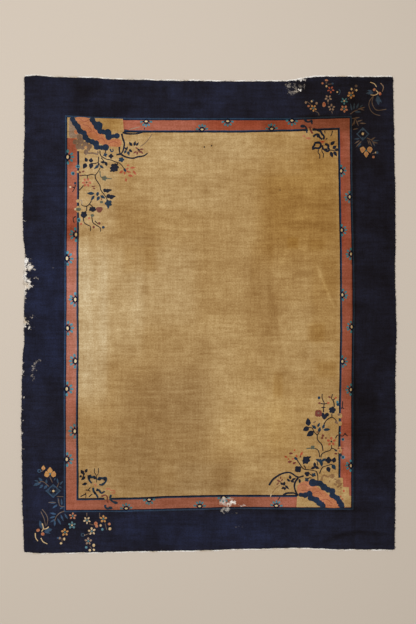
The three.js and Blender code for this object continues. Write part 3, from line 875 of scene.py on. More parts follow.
TOP_FIELD_SPRAY: list[Motif] = [
    Dot(Dye.GOLD, 310.2, 129.8, 2.4, 2.2),
    *strokes(Dye.ROCK_BLUE, 2,
        (304.2, 118.7, 306, 121.3, 309, 122, 311.4, 120.4, 312, 124.2),
        (300.9, 126.2, 303.6, 125.8, 306, 127.6, 306.9, 133),
    ),
    *many(Dot, Dye.ROCK_BLUE,
        (302.6, 126.2, 2.4, 1.6), (305.6, 119.9, 1.6, 1.2, 310), (311.6, 121.6, 1.3, 1.9),
    ),
    *strokes(Dye.DARK_RED, 2.4, (309.9, 126.6, 310.6, 130.2, 312.6, 133.6)),
    *strokes(Dye.LEAF_DARK, 2.5,
        (313.2, 128.9, 318, 130.2, 320.7, 131.6, 321.9, 134, 324, 136.4, 323.2, 139.6),
        (313.2, 136.9, 315.6, 134.7, 318.6, 134.7, 319.4, 137, 322.2, 139.6), (314.4, 143, 319.6, 142.7,
        320.8, 145.4, 319, 148.2, 315, 148, 312.9, 149.3, 313, 147, 314.4, 145.2, 314.6, 143.2), (325, 144,
        328.2, 145.4, 328.2, 147.8, 329.3, 150.2, 326.8, 151.2, 323, 148.6, 322.3, 145.2),
    ),
    *many(Dot, Dye.LEAF_DARK, (318.4, 136.2, 1.9, 1.6), (326, 149.6, 1.8, 1.4)),
    Patch(
        Dye.ORANGE,
        ((319.7, 140.6), (322.6, 141), (326.1, 140.3), (324, 142.6), (322.5, 144), (321, 142.8)),
    ),
    *many(Leaf, Dye.LEAF_DARK,
        (332.7, 143, 5.8, 3.2, 40), (334.6, 147.2, 5.2, 3, 38), (336.8, 149.7, 5, 2.6, 22),
        (331.6, 154.6, 6.6, 3.1, 288), (335.3, 153.8, 6.2, 3.1, 302),
    ),
    *strokes(Dye.STEM, 1.1,
        (329.2, 149.8, 333.6, 150.4, 336.8, 149.6), (318.6, 149.5, 318, 152.5, 319.8, 154.9, 319.5, 158.7),
        (321.6, 151.3, 323.4, 153.7, 323.1, 158), (322.4, 146, 321.8, 151), (324.6, 130.8, 325.2, 133.4),
        (332.4, 130.8, 331.8, 134, 330.5, 136.4), (327.4, 138.2, 325.6, 139.6),
    ),
    *many(Dot, Dye.RED, (322.4, 141.6, 1.3, 0.7)),
    *many(Dot, Dye.ORANGE, (308.2, 138.3, 2.6, 1.2, 350), (304, 136.1, 1.5, 1.2)),
]

LOW_FIELD_SPRAY: list[Motif] = [
    Dot(Dye.GOLD, 107.2, 498.3, 3, 1.5),
    *strokes(Dye.LEAF_BLUE, 2.4,
        (111.2, 494.8, 110.2, 498.4, 112.8, 501.6, 117.8, 503),
        (105.2, 504.8, 105.6, 507.8, 109, 508.6, 112.6, 508), (88.6, 475.2, 89.2, 480, 91.9, 483.2),
        (89.6, 475, 91.6, 477.4, 94.8, 476.6, 95.4, 479.4), (98, 480.2, 99.2, 477.9, 102.4, 478.4,
        105.8, 477.6, 106.2, 480.4, 103.9, 483.6, 102.2, 485, 99.2, 484.4),
        (93.2, 487.6, 93.7, 491.2, 96.3, 494.4, 98, 497.6),
        (96.5, 489.2, 99.6, 490.8, 101.4, 493.2, 104.8, 491.2),
    ),
    *many(Dot, Dye.LEAF_BLUE, (115.4, 502.6, 2.2, 1.5, 340), (110.2, 507.6, 2, 1.3), (103, 484, 1.6, 1.2)),
    *many(Dot, Dye.LEAF_DARK,
        (89.2, 477.2, 1.4, 2.6), (94.6, 477.8, 1.4, 1.5), (99.8, 479, 1.6, 1.7), (104.8, 479.2, 1.8, 1.8),
        (97.4, 490.2, 1.6, 1.2), (95, 493.2, 1.3, 1.6),
    ),
    *strokes(Dye.DARK_RED, 1.7, (101.3, 496.5, 105.2, 495, 107.3, 497, 107.2, 500.4, 108.2, 502.8)),
    *strokes(Dye.ROCK_ORANGE, 1.7,
        (106, 489.4, 108.6, 488.5, 110.8, 490.4, 113.4, 490.2, 114.9, 491.8, 113.6, 493.6, 111.6, 492.4),
    ),
    *many(Dot, Dye.ROCK_ORANGE, (95.2, 484.4, 1.4, 1), (95.8, 486, 0.9)),
    *many(Leaf, Dye.LEAF_DARK,
        (82.2, 471.9, 5.2, 3, 125), (86.3, 470.6, 4.6, 2.5, 60), (83.8, 474, 3, 1.8, 200),
        (80.6, 476.4, 3, 2.2, 215), (83.2, 478.4, 5.8, 2.7, 222), (84.6, 484, 5.6, 2.8, 198),
    ),
    *strokes(Dye.STEM, 1.25,
        (85.7, 490, 88.2, 490.2, 90.4, 491.4), (88.4, 490, 90.4, 487.4),
        (80.5, 496.6, 85.6, 494.4, 85.8, 497.8), (85.6, 494.6, 85.5, 492.6), (88.9, 496.8, 92.3, 494),
        (84, 474.6, 82.6, 477.4),
    ),
    *strokes(Dye.STEM, 0.9,
        (94.5, 468.4, 94.4, 472.2, 96.6, 475.4), (98.4, 468.2, 98.4, 472.4, 97.4, 475.4),
        (96.6, 475.4, 96.6, 482.4),
    ),
]

# Half rosettes of the coral band, by the direction that their petals face and their size.
BAND_ROSETTES: list[Motif] = [
    HalfRosette(x, y, facing, size)
    for facing, size, places in (
        (0, 1.2, ((67.4, 157), (66.8, 258.4), (67.4, 328.2), (66.6, 388.9), (66.6, 459.4))),
        (180, 1.2, ((76.1, 234.6), (75.4, 299.5), (75.6, 361.1), (75, 431.2))),
        (0, 1.0, ((341, 170.9), (341.6, 230.2), (342.2, 294.9), (342.2, 361.5))),
        (180, 1.0, ((349.8, 196.9), (351.2, 254), (351.8, 326.9), (351.1, 389.6), (351, 465.7))),
        (270, 1.0, ((146.2, 121.2), (227.6, 121), (291.9, 120.4), (149.2, 499.4), (223.6, 497.4))),
        (90, 1.0, ((202, 129.6), (271.7, 129), (126.2, 508.6), (199.7, 506.4), (276.4, 505.9))),
    )
    for x, y in places
]

FIELD_MARKS: list[Motif] = many(Dot, Dye.STEM, (204.4, 147, 0.8), (211.5, 145.7, 0.8), (280, 190, 0.6))


@dataclass(frozen=True)
class BandLine:
    """A woven line round the rug, a little crooked. Each row is a place along the side and across it."""

    top: tuple[Point, ...]
    right: tuple[Point, ...]
    bottom: tuple[Point, ...]
    left: tuple[Point, ...]

    STEP = 4.0
    UNEVEN = 0.12

    @staticmethod
    def across(rows: tuple[Point, ...], along: np.ndarray) -> np.ndarray:
        """Gives where a side runs at places along it."""
        return np.interp(along, [row[0] for row in rows], [row[1] for row in rows])

    def loop(self, spread: float, hand: random.Random) -> list[Point]:
        """Gives the closed line.

        Args:
            spread: How far outside the line's middle it runs, in pixels.
            hand: Source of the weaver's small steps.

        Returns:
            Points once round, starting at the top left corner.
        """
        low_x = self.left[0][1] - spread
        low_y = self.top[0][1] - spread
        sides = (
            (self.top, low_x, self.right[0][1] + spread, -spread, False),
            (self.right, self.top[-1][1] - spread, self.bottom[-1][1] + spread, spread, True),
            (self.bottom, self.right[-1][1] + spread, self.left[-1][1] - spread, spread, False),
            (self.left, self.bottom[0][1] + spread, low_y, -spread, True),
        )
        loop: list[Point] = []
        for rows, start, end, shift, upright in sides:
            count = max(2, round(abs(end - start) / self.STEP))
            along = np.linspace(start, end, count, endpoint=False)
            across = self.across(rows, along) + shift
            for a, b in zip(along, across):
                b += hand.uniform(-self.UNEVEN, self.UNEVEN)
                loop.append((float(b), float(a)) if upright else (float(a), float(b)))
        return loop


OUTER_GUARD = BandLine(
    top=((66, 116.4), (90, 117.8), (130, 119.1), (260, 119.2), (290, 119.2), (320, 117.9), (351, 117.1)),
    right=((117, 350.7), (200, 351.5), (270, 353.2), (310, 353.6), (340, 353), (400, 352.3), (508, 352.3)),
    bottom=((65, 511), (120, 510.8), (175, 509.4), (240, 507.9), (300, 508.5), (352, 508.6)),
    left=((116, 66.2), (200, 66.1), (260, 65.5), (330, 65.4), (400, 64.8), (510, 65)),
)
INNER_LINE = BandLine(
    top=((78, 131.4), (130, 131.5), (240, 131.6), (290, 130.6), (330, 129.2), (339, 128.8)),
    right=((128, 338.7), (200, 339.8), (250, 340.8), (330, 341.1), (375, 340.4), (445, 339.3), (496, 339.4)),
    bottom=((77, 499.2), (140, 498.3), (165, 497), (225, 495.7), (298, 496), (340, 495.9)),
    left=((131, 78.3), (225, 78), (250, 77.65), (315, 77.6), (345, 78), (370, 77.5), (425, 77.05),
          (450, 77.4), (475, 77.7), (499, 77.6)),
)

# Nested fills of the band, each as its line, its spread in pixels and its dye.
BAND_FILLS = (
    (OUTER_GUARD, 1.1, Dye.GUARD_BLUE),
    (OUTER_GUARD, -0.15, Dye.GUARD_NAVY),
    (OUTER_GUARD, -1.2, Dye.CORAL),
    (INNER_LINE, 1.2, Dye.GUARD_BLUE),
    (INNER_LINE, 0.3, Dye.LINE_NAVY),
    (INNER_LINE, -1.05, Dye.GOLD),
)

# The charts in painting order.
CHARTS = (
    FIELD_MARKS,
    BAND_ROSETTES,
    LOW_ROCK_SPRAY,
    HIGH_ROCK_SPRAY,
    TOP_FIELD_SPRAY,
    LOW_FIELD_SPRAY,
    TOP_BORDER_SPRAY,
    LOW_BORDER_SPRAY,
)


def rug_pattern() -> Pattern:
    """Draws the whole rug.

    Returns:
        The pattern, from the band to the sprays.
    """
    pattern = Pattern()
    for line, spread, dye in BAND_FILLS:
        pattern.fill(line.loop(spread, pattern.hand), dye)
    for chart in CHARTS:
        pattern.draw(chart)
    return pattern


class Worn(NamedTuple):
    """An oval worn spot. A share of 1 is bare cotton, and one below 0 is a tuft that is left there."""

    x: float
    y: float
    half_width: float
    half_length: float
    share: float


WORN_SPOTS = tuple(
    Worn(*row)
    for row in (
        (24.2, 277, 2.5, 25, 1), (29.6, 266.4, 3.4, 4.6, 1), (27, 260.6, 2.2, 3, 1),
        (31.4, 260.2, 1.2, 1.2, 0.75), (34, 268.8, 1.6, 1.4, 0.66), (28.6, 281, 2.4, 3, 1),
        (28.4, 286, 4, 3, 1), (26.6, 273, 1.2, 1, 0.8), (36.2, 277.9, 2.2, 1, 0.7),
        (52.2, 267.4, 1.6, 1.2, 0.5), (28.8, 274.6, 2.2, 2.8, -1), (29.6, 260.6, 1.2, 0.9, -0.8),
        (28.2, 263.8, 1, 0.8, -0.6), (32.6, 263.2, 1, 1.2, -0.7), (31.8, 281.2, 1.4, 1.6, -0.9),
        (24.4, 322.5, 2.2, 5.6, 1), (27.4, 320.6, 1.2, 1.4, 0.7), (32.4, 316.8, 3.6, 1.1, 0.68),
        (36.4, 318.2, 1.2, 0.8, 0.45), (28.2, 323.4, 1.3, 1.7, 0.85), (29.6, 327.6, 1.5, 2.2, 0.95),
        (34, 327.5, 1.2, 0.7, 0.4), (38.4, 360.8, 3, 1.6, 0.5), (35, 362.8, 2.6, 2.2, 0.55),
        (33.2, 368, 2, 3.8, 0.55), (32.6, 374.6, 1.8, 3.8, 0.55), (33.8, 379.2, 1.6, 2, 0.48),
        (35.4, 369.6, 1.6, 1.8, 0.5), (22.6, 363, 1, 2.2, 0.8), (22.6, 372, 1, 4, 0.75),
        (23.9, 397.4, 1.1, 1.5, 1), (23.8, 220.6, 1.8, 0.7, 0.8), (23.4, 228.6, 1, 0.8, 0.7),
        (22.2, 410.8, 1, 0.9, 0.8), (22.2, 421.4, 0.9, 0.8, 0.75), (22.4, 432.8, 1, 0.9, 0.8),
        (22.6, 448.6, 1, 1.4, 0.75), (301, 79.6, 5.6, 1.4, 0.85), (299.6, 89.6, 2, 1.3, 1),
        (296.6, 91, 1.8, 1, 0.8), (294.6, 88.6, 9.4, 6, 0.47), (289, 85.2, 4.6, 2.6, 0.55),
        (303, 86, 3, 2.2, 0.52), (292.4, 92.6, 5, 2.8, 0.5), (233, 502.6, 3.6, 2.5, 1),
        (228.6, 504.8, 3, 2.8, 0.9), (223, 503.2, 4.4, 2.8, 0.72), (224.4, 499, 4.6, 2, 0.72),
        (231, 498.6, 3.4, 2, 0.58), (224.6, 510.4, 4.8, 3.4, 0.63), (228.2, 508.4, 2, 2, 0.74),
        (242.6, 505.6, 5.4, 1.1, 0.74), (236, 508.4, 4, 0.8, 0.42), (236, 513.8, 7, 0.8, 0.4),
        (238, 526.5, 7, 0.8, 0.4),
    )
)


class ToneAndPaintedLight(NamedTuple):
    """A soft area of other tone and of painted light and shade. Bleach fades the dye, and the tone and
    painted light brighten it, in stops of light.
    """

    x: float
    y: float
    half_width: float
    half_length: float
    bleach: float
    lift: float


# The field's spots are partly dye tone and partly painted light and shade.
FIELD_TONE_AND_PAINTED_LIGHT = tuple(
    ToneAndPaintedLight(*row)
    for row in (
        (92, 322, 16, 82, 1, 0.07), (85, 330, 8, 72, 0.25, 0), (122, 300, 22, 62, 0.6, 0.05),
        (165, 285, 32, 42, 0.5, 0), (190, 147, 62, 15, 0.4, 0), (327, 138, 16, 9, -0.3, -0.28),
        (80, 231, 15, 7, -0.2, -0.24), (333, 424, 6, 9, -0.3, -0.3), (280, 160, 26, 16, 0.4, 0.06),
        (166, 176, 22, 20, 0, 0.16), (180, 185, 52, 26, 0.3, 0), (135, 221, 24, 24, -0.1, -0.32),
        (140, 259, 17, 14, -0.6, -0.2), (178, 238, 40, 8, 0, -0.1), (97, 190, 20, 42, 0.6, 0),
        (84, 122, 12, 8, 0.3, -0.22), (112, 124, 12, 8, -0.7, -0.05), (304, 487, 9, 6, 0.1, 0.14),
        (162, 428, 48, 56, 0.5, -0.62), (120, 462, 40, 29, 0.4, -0.42), (205, 477, 30, 15, 0.5, -0.36),
        (192, 380, 46, 50, 0.25, -0.08), (148, 400, 26, 30, 0, -0.1), (85, 445, 13, 42, 0, -0.15),
        (245, 395, 36, 60, -0.1, 0.22), (258, 428, 36, 24, -0.2, 0.22), (262, 307, 17, 28, -0.1, -0.27),
        (262, 262, 12, 20, -0.2, -0.15), (268, 346, 9, 14, 0, -0.12), (285, 378, 7, 20, 0, -0.16),
        (258, 352, 15, 38, 0, -0.18), (302, 200, 44, 60, -0.9, 0), (327, 207, 11, 26, 0, -0.24),
        (290, 222, 14, 20, 0, 0.12), (298, 281, 24, 24, -0.2, -0.03), (312, 205, 27, 5, 0, -0.12),
        (312, 225, 27, 5, 0, -0.18), (268, 205, 10, 45, 0, -0.1), (325, 320, 14, 60, -0.4, -0.02),
        (322, 350, 14, 10, 0.3, 0.25), (292, 426, 24, 44, -0.3, 0.2), (292, 318, 9, 26, 0, 0.1),
        (222, 478, 9, 13, 0, -0.35), (214, 272, 20, 14, 0, -0.14), (90, 408, 10, 12, 0, 0.16),
        (206, 349, 5, 10, 0, -0.18), (145, 290, 4, 5, 0, -0.22), (200, 488, 110, 8, 0.4, -0.22),
        (270, 245, 2.5, 92, 0, -0.12), (206, 220, 2.5, 48, 0, -0.1), (145, 305, 2.5, 38, 0, -0.1),
        (316, 333, 9, 10, -0.4, -0.14), (317, 245, 8, 6, -0.2, -0.12), (293, 243, 6, 6, -0.4, -0.02),
        (331, 276, 9, 19, -0.3, -0.14), (327, 370, 10, 8, -0.3, -0.14), (278, 385, 5, 13, -0.4, -0.1),
        (84, 265, 6, 38, 0.4, 0.08), (175, 492, 30, 5, 0.2, -0.2),
    )
)
# The band's spots are partly dye tone and partly painted light and shade.
BAND_TONE_AND_PAINTED_LIGHT = tuple(
    ToneAndPaintedLight(*row)
    for row in (
        (71, 320, 7, 82, 0.45, 0.33), (70, 152, 6, 14, -0.1, -0.3), (71, 450, 7, 45, 0.4, 0.08),
        (155, 124, 38, 7, 0.1, 0.31), (250, 124, 48, 7, -0.5, 0.04), (325, 123, 30, 8, 0.4, -1.18),
        (347, 170, 6, 45, 0.3, -0.28), (347, 330, 6, 85, 0, -0.22), (347, 450, 6, 34, -0.4, 0),
        (347, 449, 5, 13, 0.6, 0.35), (279, 124, 16, 7, -0.2, -0.3), (180, 504, 100, 7, 0.5, -0.45),
        (274, 502, 22, 6, 0.1, 0.36), (347, 484, 5, 13, -0.1, 0.42), (71, 180, 6, 17, 0.1, 0.2),
        (71, 226, 6, 16, -0.3, -0.2), (71, 266, 6, 24, -0.1, 0.12), (71, 430, 6, 14, 0.3, -0.32),
        (273, 124, 13, 6, 0.3, -0.5),
    )
)
# The border's lift is painted light and sheen: lighter on the left and at the bottom, darker on the right and
# at the top.
BORDER_TONE_AND_PAINTED_LIGHT = tuple(
    ToneAndPaintedLight(*row)
    for row in (
        (390, 250, 38, 260, 0, -0.5), (365, 415, 13, 34, 0, -0.4), (330, 96, 40, 18, 0.2, -0.75),
        (370, 140, 15, 30, 0.2, -0.3), (105, 97, 32, 16, 0, -0.3), (43, 310, 21, 78, -0.6, 0.5),
        (353.6, 320, 2.4, 215, 0, -0.75), (325, 117, 32, 2.2, 0, -0.35), (312, 509.6, 46, 2.4, 0, -0.5),
        (48, 190, 16, 34, -0.2, 0.25), (44, 500, 18, 45, -0.3, 0.32), (205, 530, 95, 17, -0.4, 0.5),
        (330, 532, 34, 14, 0, 0.2),
    )
)


class Crease(NamedTuple):
    """A soft ridge, or a trough if its height is below 0, with its ends in pixels and its painted light in
    stops: a painted highlight along a ridge, painted shade along a trough.
    """

    x0: float
    y0: float
    x1: float
    y1: float
    half_width: float
    height: float
    lift: float

    # It fades out over one part in this many of its length at each end.
    FADE = 5

    def share(self, places: np.ndarray) -> np.ndarray:
        """Gives how near each place is to the crease.

        Args:
            places: One row of x and y for each place.

        Returns:
            0 to 1 for each place.
        """
        start = np.array([self.x0, self.y0])
        along = np.array([self.x1, self.y1]) - start
        run = np.clip((places - start) @ along / (along @ along), 0, 1)
        off = np.linalg.norm(places - start - run[:, None] * along, axis=1)
        ends = np.clip(np.minimum(run, 1 - run) * self.FADE, 0, 1)
        return ends * np.exp(-((off / self.half_width) ** 2))


# Each crease's lift is painted light: a painted highlight along a ridge and painted shade along a trough.
CREASES = tuple(
    Crease(*row)
    for row in (
        (315.2, 261, 335.9, 312.2, 1.4, 0.0012, 0.5), (311.8, 545.6, 347, 533.4, 2.2, -0.0012, -0.5),
        (338, 535, 362, 531.8, 2, -0.0012, -0.6), (354, 531.6, 390, 534.4, 1.8, -0.0012, -0.6),
        (266.6, 281, 275.6, 315, 2.2, -0.0006, -0.2), (275.2, 304, 276.6, 334, 2.2, -0.0006, -0.2),
        (281.6, 333, 288.4, 370, 1.6, 0.0004, 0.16), (286.2, 252, 278.6, 271, 1.5, 0.0004, 0.2),
        (305.8, 225, 305.6, 312, 1.3, 0.0003, 0.12),
    )
)


class Surface:
    """Wear, tone, painted light and height of the pile at places on the rug, in pixels."""

    # Each swell as its run by x and by y, in radians per pixel, and its phase.
    SWELLS = ((0.021, 0.013, 0.4), (-0.012, 0.026, 2.1), (0.034, -0.008, 4.0), (0.009, 0.041, 5.2))
    SWELL_HEIGHT = 0.00035
    # Each ragged wave as its size in pixels and its run by the other axis and by its own.
    RAGGED_X = ((0.7, 1.3, 0.5), (0.5, 2.9, -1.7))
    RAGGED_Y = ((0.7, 1.2, -0.6), (0.5, 2.7, 1.9))
    # A worn spot fades out at this many times its half size, and a spot of tone and painted light is flat
    # with soft edges.
    WORN_REACH = 1.5
    TONE_AND_LIGHT_POWER = 6

    @staticmethod
    def _ragged(own: np.ndarray, other: np.ndarray, waves: Sequence[Sequence[float]]) -> np.ndarray:
        """Shifts places along one axis by ragged waves.

        Args:
            own: The places along that axis.
            other: The same places along the other axis.
            waves: Each wave's size and its runs by the other axis and by its own.

        Returns:
            The shifted places.
        """
        shifted = own
        for size, by_other, by_own in waves:
            shifted = shifted + size * np.sin(by_other * other + by_own * own)
        return shifted

    @classmethod
    def wear(cls, places: np.ndarray) -> np.ndarray:
        """Gives how far the pile is worn, 0 to 1.

        Args:
            places: One row of x and y for each place.

        Returns:
            One value for each place.
        """
        bare = np.zeros(len(places))
        left = np.zeros(len(places))
        x, y = places.T
        ragged_x = cls._ragged(x, y, cls.RAGGED_X)
        ragged_y = cls._ragged(y, x, cls.RAGGED_Y)
        for spot in WORN_SPOTS:
            out = np.hypot((ragged_x - spot.x) / spot.half_width, (ragged_y - spot.y) / spot.half_length)
            near = np.clip(cls.WORN_REACH - out, 0, 1)
            share = abs(spot.share) * near**2 * (3 - 2 * near)
            target = bare if spot.share > 0 else left
            np.maximum(target, share, out=target)
        return np.clip(bare - left, 0, 1)

    @classmethod
    def tones_and_painted_light(cls, places: np.ndarray) -> tuple[np.ndarray, np.ndarray]:
        """Gives how bleached the dye is, and how far its tone and painted light lift it.

        Args:
            places: One row of x and y for each place.

        Returns:
            The bleach, and the tone and painted light, of each place.
        """
        bleach = np.zeros(len(places))
        lift = np.zeros(len(places))
        # Spots add dye tone and painted light and shade.
        for spot in (*FIELD_TONE_AND_PAINTED_LIGHT, *BAND_TONE_AND_PAINTED_LIGHT, *BORDER_TONE_AND_PAINTED_LIGHT):
            out = ((places[:, 0] - spot.x) / spot.half_width) ** cls.TONE_AND_LIGHT_POWER
            out += ((places[:, 1] - spot.y) / spot.half_length) ** cls.TONE_AND_LIGHT_POWER
            share = np.exp(-out)
            bleach += spot.bleach * share
            lift += spot.lift * share
        # Creases add painted light: lighter along a ridge, painted shade along a trough.
        for crease in CREASES:
            lift += crease.lift * crease.share(places)
        return bleach, lift

    @classmethod
    def swell(cls, places: np.ndarray) -> np.ndarray:
        """Gives the height of the soft waves and creases.

        Args:
            places: One row of x and y for each place.

        Returns:
            Metres for each place.
        """
        height = np.zeros(len(places))
        for by_x, by_y, phase in cls.SWELLS:
            height += cls.SWELL_HEIGHT * np.sin(by_x * places[:, 0] + by_y * places[:, 1] + phase)
        for crease in CREASES:
            height += crease.height * crease.share(places)
        return height


@dataclass(frozen=True)
class Chart:
    """Places pixels of the photograph in the rug's frame."""

    middle: Vector

    def metres(self, pixels: np.ndarray) -> np.ndarray:
        """Gives places in metres.

        Args:
            pixels: Rows of x and y.

        Returns:
            Rows of x and y in metres.
        """
        x = self.middle.x + (pixels[:, 0] - RUG_MIDDLE_PX[0]) * PIXEL
        y = self.middle.y - (pixels[:, 1] - RUG_MIDDLE_PX[1]) * PIXEL
        return np.stack([x, y], axis=1)

    def pixels(self, metres: np.ndarray) -> np.ndarray:
        """Gives places in pixels.

        Args:
            metres: Rows of x and y.

        Returns:
            Rows of x and y in pixels.
        """
        x = RUG_MIDDLE_PX[0] + (metres[:, 0] - self.middle.x) / PIXEL
        y = RUG_MIDDLE_PX[1] - (metres[:, 1] - self.middle.y) / PIXEL
        return np.stack([x, y], axis=1)


class RugOutline:
    """The foundation's outline as the CAD node has it, once round in metres, against the clock."""

    FLOOR_GAP = 0.0002
    # Points farther than this from the middle, along the rug, belong to an end.
    END_BEYOND = 1.3
    # The edge's direction is taken over this many stations on each side.
    BESIDE = 2

    def __init__(self) -> None:
        """Reads the outline from the CAD node's underside."""
        low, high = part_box("rug")
        self.middle = (low + high) / 2
        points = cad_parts["rug"].data.vertices
        floor = low.z + self.FLOOR_GAP
        corners = {(round(v.co.x, 5), round(v.co.y, 5)) for v in points if v.co.z < floor}
        loose = np.array(sorted(corners))
        turn = np.arctan2(loose[:, 1] - self.middle.y, loose[:, 0] - self.middle.x)
        self.corners = loose[np.argsort(turn)]

    def stations(self, pitch: float) -> np.ndarray:
        """Gives evenly spaced points once round.

        Args:
            pitch: Distance between them in metres.

        Returns:
            One row of x and y for each point.
        """
        closed = np.vstack([self.corners, self.corners[:1]])
        steps = np.linalg.norm(np.diff(closed, axis=0), axis=1)
        run = np.concatenate([[0.0], np.cumsum(steps)])
        at = np.linspace(0, run[-1], round(run[-1] / pitch), endpoint=False)
        return np.stack([np.interp(at, run, closed[:, k]) for k in (0, 1)], axis=1)

    def outward(self, stations: np.ndarray) -> np.ndarray:
        """Gives the direction out of the rug.

        Args:
            stations: Points once round.

        Returns:
            One direction of length 1 for each station.
        """
        ahead = np.roll(stations, -self.BESIDE, axis=0) - np.roll(stations, self.BESIDE, axis=0)
        ahead /= np.linalg.norm(ahead, axis=1, keepdims=True)
        return np.stack([ahead[:, 1], -ahead[:, 0]], axis=1)

    def end_course(self, side: float, x: np.ndarray) -> np.ndarray:
        """Gives where an end of the rug runs.

        Args:
            side: 1 for the top end and -1 for the bottom end.
            x: Places across the rug.

        Returns:
            The end's y at each place.
        """
        near = self.corners[(self.corners[:, 1] - self.middle.y) * side > self.END_BEYOND]
        near = near[np.argsort(near[:, 0])]
        return np.interp(x, near[:, 0], near[:, 1])


# Name of the node group that the wool and the cotton share.
STREAKS = "woven_streaks"


class Graph:
    """Adds shader nodes to one tree and joins them."""

    def __init__(self, tree: bpy.types.NodeTree) -> None:
        """Starts on an emptied tree."""
        self.tree = tree
        tree.nodes.clear()

    def node(self, kind: str, **settings: object) -> bpy.types.Node:
        """Adds a node.

        Args:
            kind: Its type.
            settings: Its plain options.

        Returns:
            The node.
        """
        made = self.tree.nodes.new(kind)
        for name, value in settings.items():
            setattr(made, name, value)
        return made

    def feed(self, socket: bpy.types.NodeSocket, value: object) -> None:
        """Links a socket to another, or sets its plain value.

        Args:
            socket: An input.
            value: An output or a plain value.
        """
        if isinstance(value, bpy.types.NodeSocket):
            self.tree.links.new(value, socket)
        else:
            socket.default_value = value

    def math(self, operation: str, *values: object) -> bpy.types.NodeSocket:
        """Adds a sum.

        Args:
            operation: Its kind.
            values: One to three outputs or plain values.

        Returns:
            The result.
        """
        made = self.node("ShaderNodeMath", operation=operation)
        for socket, value in zip(made.inputs, values):
            self.feed(socket, value)
        return made.outputs[0]

    def attribute(self, name: str) -> bpy.types.NodeSocket:
        """Gives a mesh attribute's value."""
        return self.node("ShaderNodeAttribute", attribute_name=name).outputs["Fac"]

    def streaks(self, across: float, along: float, strength: object) -> bpy.types.NodeSocket:
        """Places the shared group of streaks.

        Args:
            across: Their scale across the rug, per metre.
            along: Their scale along it.
            strength: An output or a plain value.

        Returns:
            A factor near 1.
        """
        made = self.node("ShaderNodeGroup")
        made.node_tree = bpy.data.node_groups[STREAKS]
        for socket, value in zip(made.inputs, (across, along, strength)):
            self.feed(socket, value)
        return made.outputs[0]

    def mixed(self, share: object, first: object, second: object) -> bpy.types.NodeSocket:
        """Mixes two colours.

        Args:
            share: How much of the second one shows.
            first: An output or a plain colour.
            second: Another one.

        Returns:
            The mix.
        """
        made = self.node("ShaderNodeMix", data_type="RGBA")
        self.feed(made.inputs["Factor"], share)
        colours = [s for s in made.inputs if s.type == "RGBA"]
        self.feed(colours[0], first)
        self.feed(colours[1], second)
        return next(s for s in made.outputs if s.type == "RGBA")


def build_streaks() -> None:
    """Builds the shared group, whose factor is uneven along and across the weave."""
    tree = bpy.data.node_groups.new(STREAKS, "ShaderNodeTree")
    for name in ("Across", "Along", "Strength"):
        tree.interface.new_socket(name, in_out="INPUT", socket_type="NodeSocketFloat")
    tree.interface.new_socket("Factor", in_out="OUTPUT", socket_type="NodeSocketFloat")
    graph = Graph(tree)
    given = graph.node("NodeGroupInput")
    wanted = graph.node("NodeGroupOutput")
    place = graph.node("ShaderNodeTexCoord").outputs["Object"]
    scale = graph.node("ShaderNodeCombineXYZ")
    graph.feed(scale.inputs[0], given.outputs["Across"])
    graph.feed(scale.inputs[1], given.outputs["Along"])
    scaled = graph.node("ShaderNodeVectorMath", operation="MULTIPLY")
    graph.feed(scaled.inputs[0], place)
    graph.feed(scaled.inputs[1], scale.outputs[0])
    noise = graph.node("ShaderNodeTexNoise")
    noise.inputs["Scale"].default_value = 1.0
    noise.inputs["Detail"].default_value = 2.0
    graph.feed(noise.inputs["Vector"], scaled.outputs[0])
    centred = graph.math("MULTIPLY_ADD", noise.outputs[0], 2.0, -1.0)
    factor = graph.math("MULTIPLY_ADD", centred, given.outputs["Strength"], 1.0)
    graph.feed(wanted.inputs[0], factor)


@dataclass(frozen=True)
class Yarn:
    """What the finishes of the wool and the cotton have in common."""

    name: str
    roughness: float
    gloss: float
    sheen: float
    # Scale of the fine relief, per metre, its strength and its depth in metres.
    grain_scale: float
    grain_strength: float
    grain_depth: float

    def colour(self, graph: Graph) -> bpy.types.NodeSocket:
        """Adds the yarn's uneven colour to a material, as each kind of yarn has it."""
        raise NotImplementedError

    def material(self) -> bpy.types.Material:
        """Makes the material.

        Returns:
            The material.
        """
        made = bpy.data.materials.new(self.name)
        made.use_nodes = True
        graph = Graph(made.node_tree)
        body = graph.node("ShaderNodeBsdfPrincipled")
        graph.feed(body.inputs["Base Color"], self.colour(graph))
        body.inputs["Roughness"].default_value = self.roughness
        body.inputs["Specular IOR Level"].default_value = self.gloss
        body.inputs["Sheen Weight"].default_value = self.sheen
        bump = graph.node("ShaderNodeBump")
        bump.inputs["Strength"].default_value = self.grain_strength
        bump.inputs["Distance"].default_value = self.grain_depth
        graph.feed(bump.inputs["Height"], graph.streaks(self.grain_scale, self.grain_scale, 1.0))
        graph.feed(body.inputs["Normal"], bump.outputs[0])
        graph.feed(graph.node("ShaderNodeOutputMaterial").inputs[0], body.outputs[0])
        return made


@dataclass(frozen=True)
class CottonYarn(Yarn):
    """Undyed cotton, soiled in places."""

    name: str = "cotton_yarn"
    roughness: float = 0.92
    gloss: float = 0.2
    sheen: float = 0.1
    grain_scale: float = 160.0
    grain_strength: float = 0.3
    grain_depth: float = 0.0006
    soil_scale: float = 14.0
    soil_strength: float = 1.6
    clean_share: float = 0.75

    def colour(self, graph: Graph) -> bpy.types.NodeSocket:
        """Adds the cotton's uneven colour to a material.

        Args:
            graph: The material's tree.

        Returns:
            The colour.
        """
        soil = graph.streaks(self.soil_scale, self.soil_scale, self.soil_strength)
        share = graph.math("MULTIPLY", soil, self.clean_share)
        share = graph.math("MINIMUM", graph.math("MAXIMUM", share, 0.0), 1.0)
        return graph.mixed(share, light_of(Finish.COTTON_SOILED), light_of(Finish.COTTON))


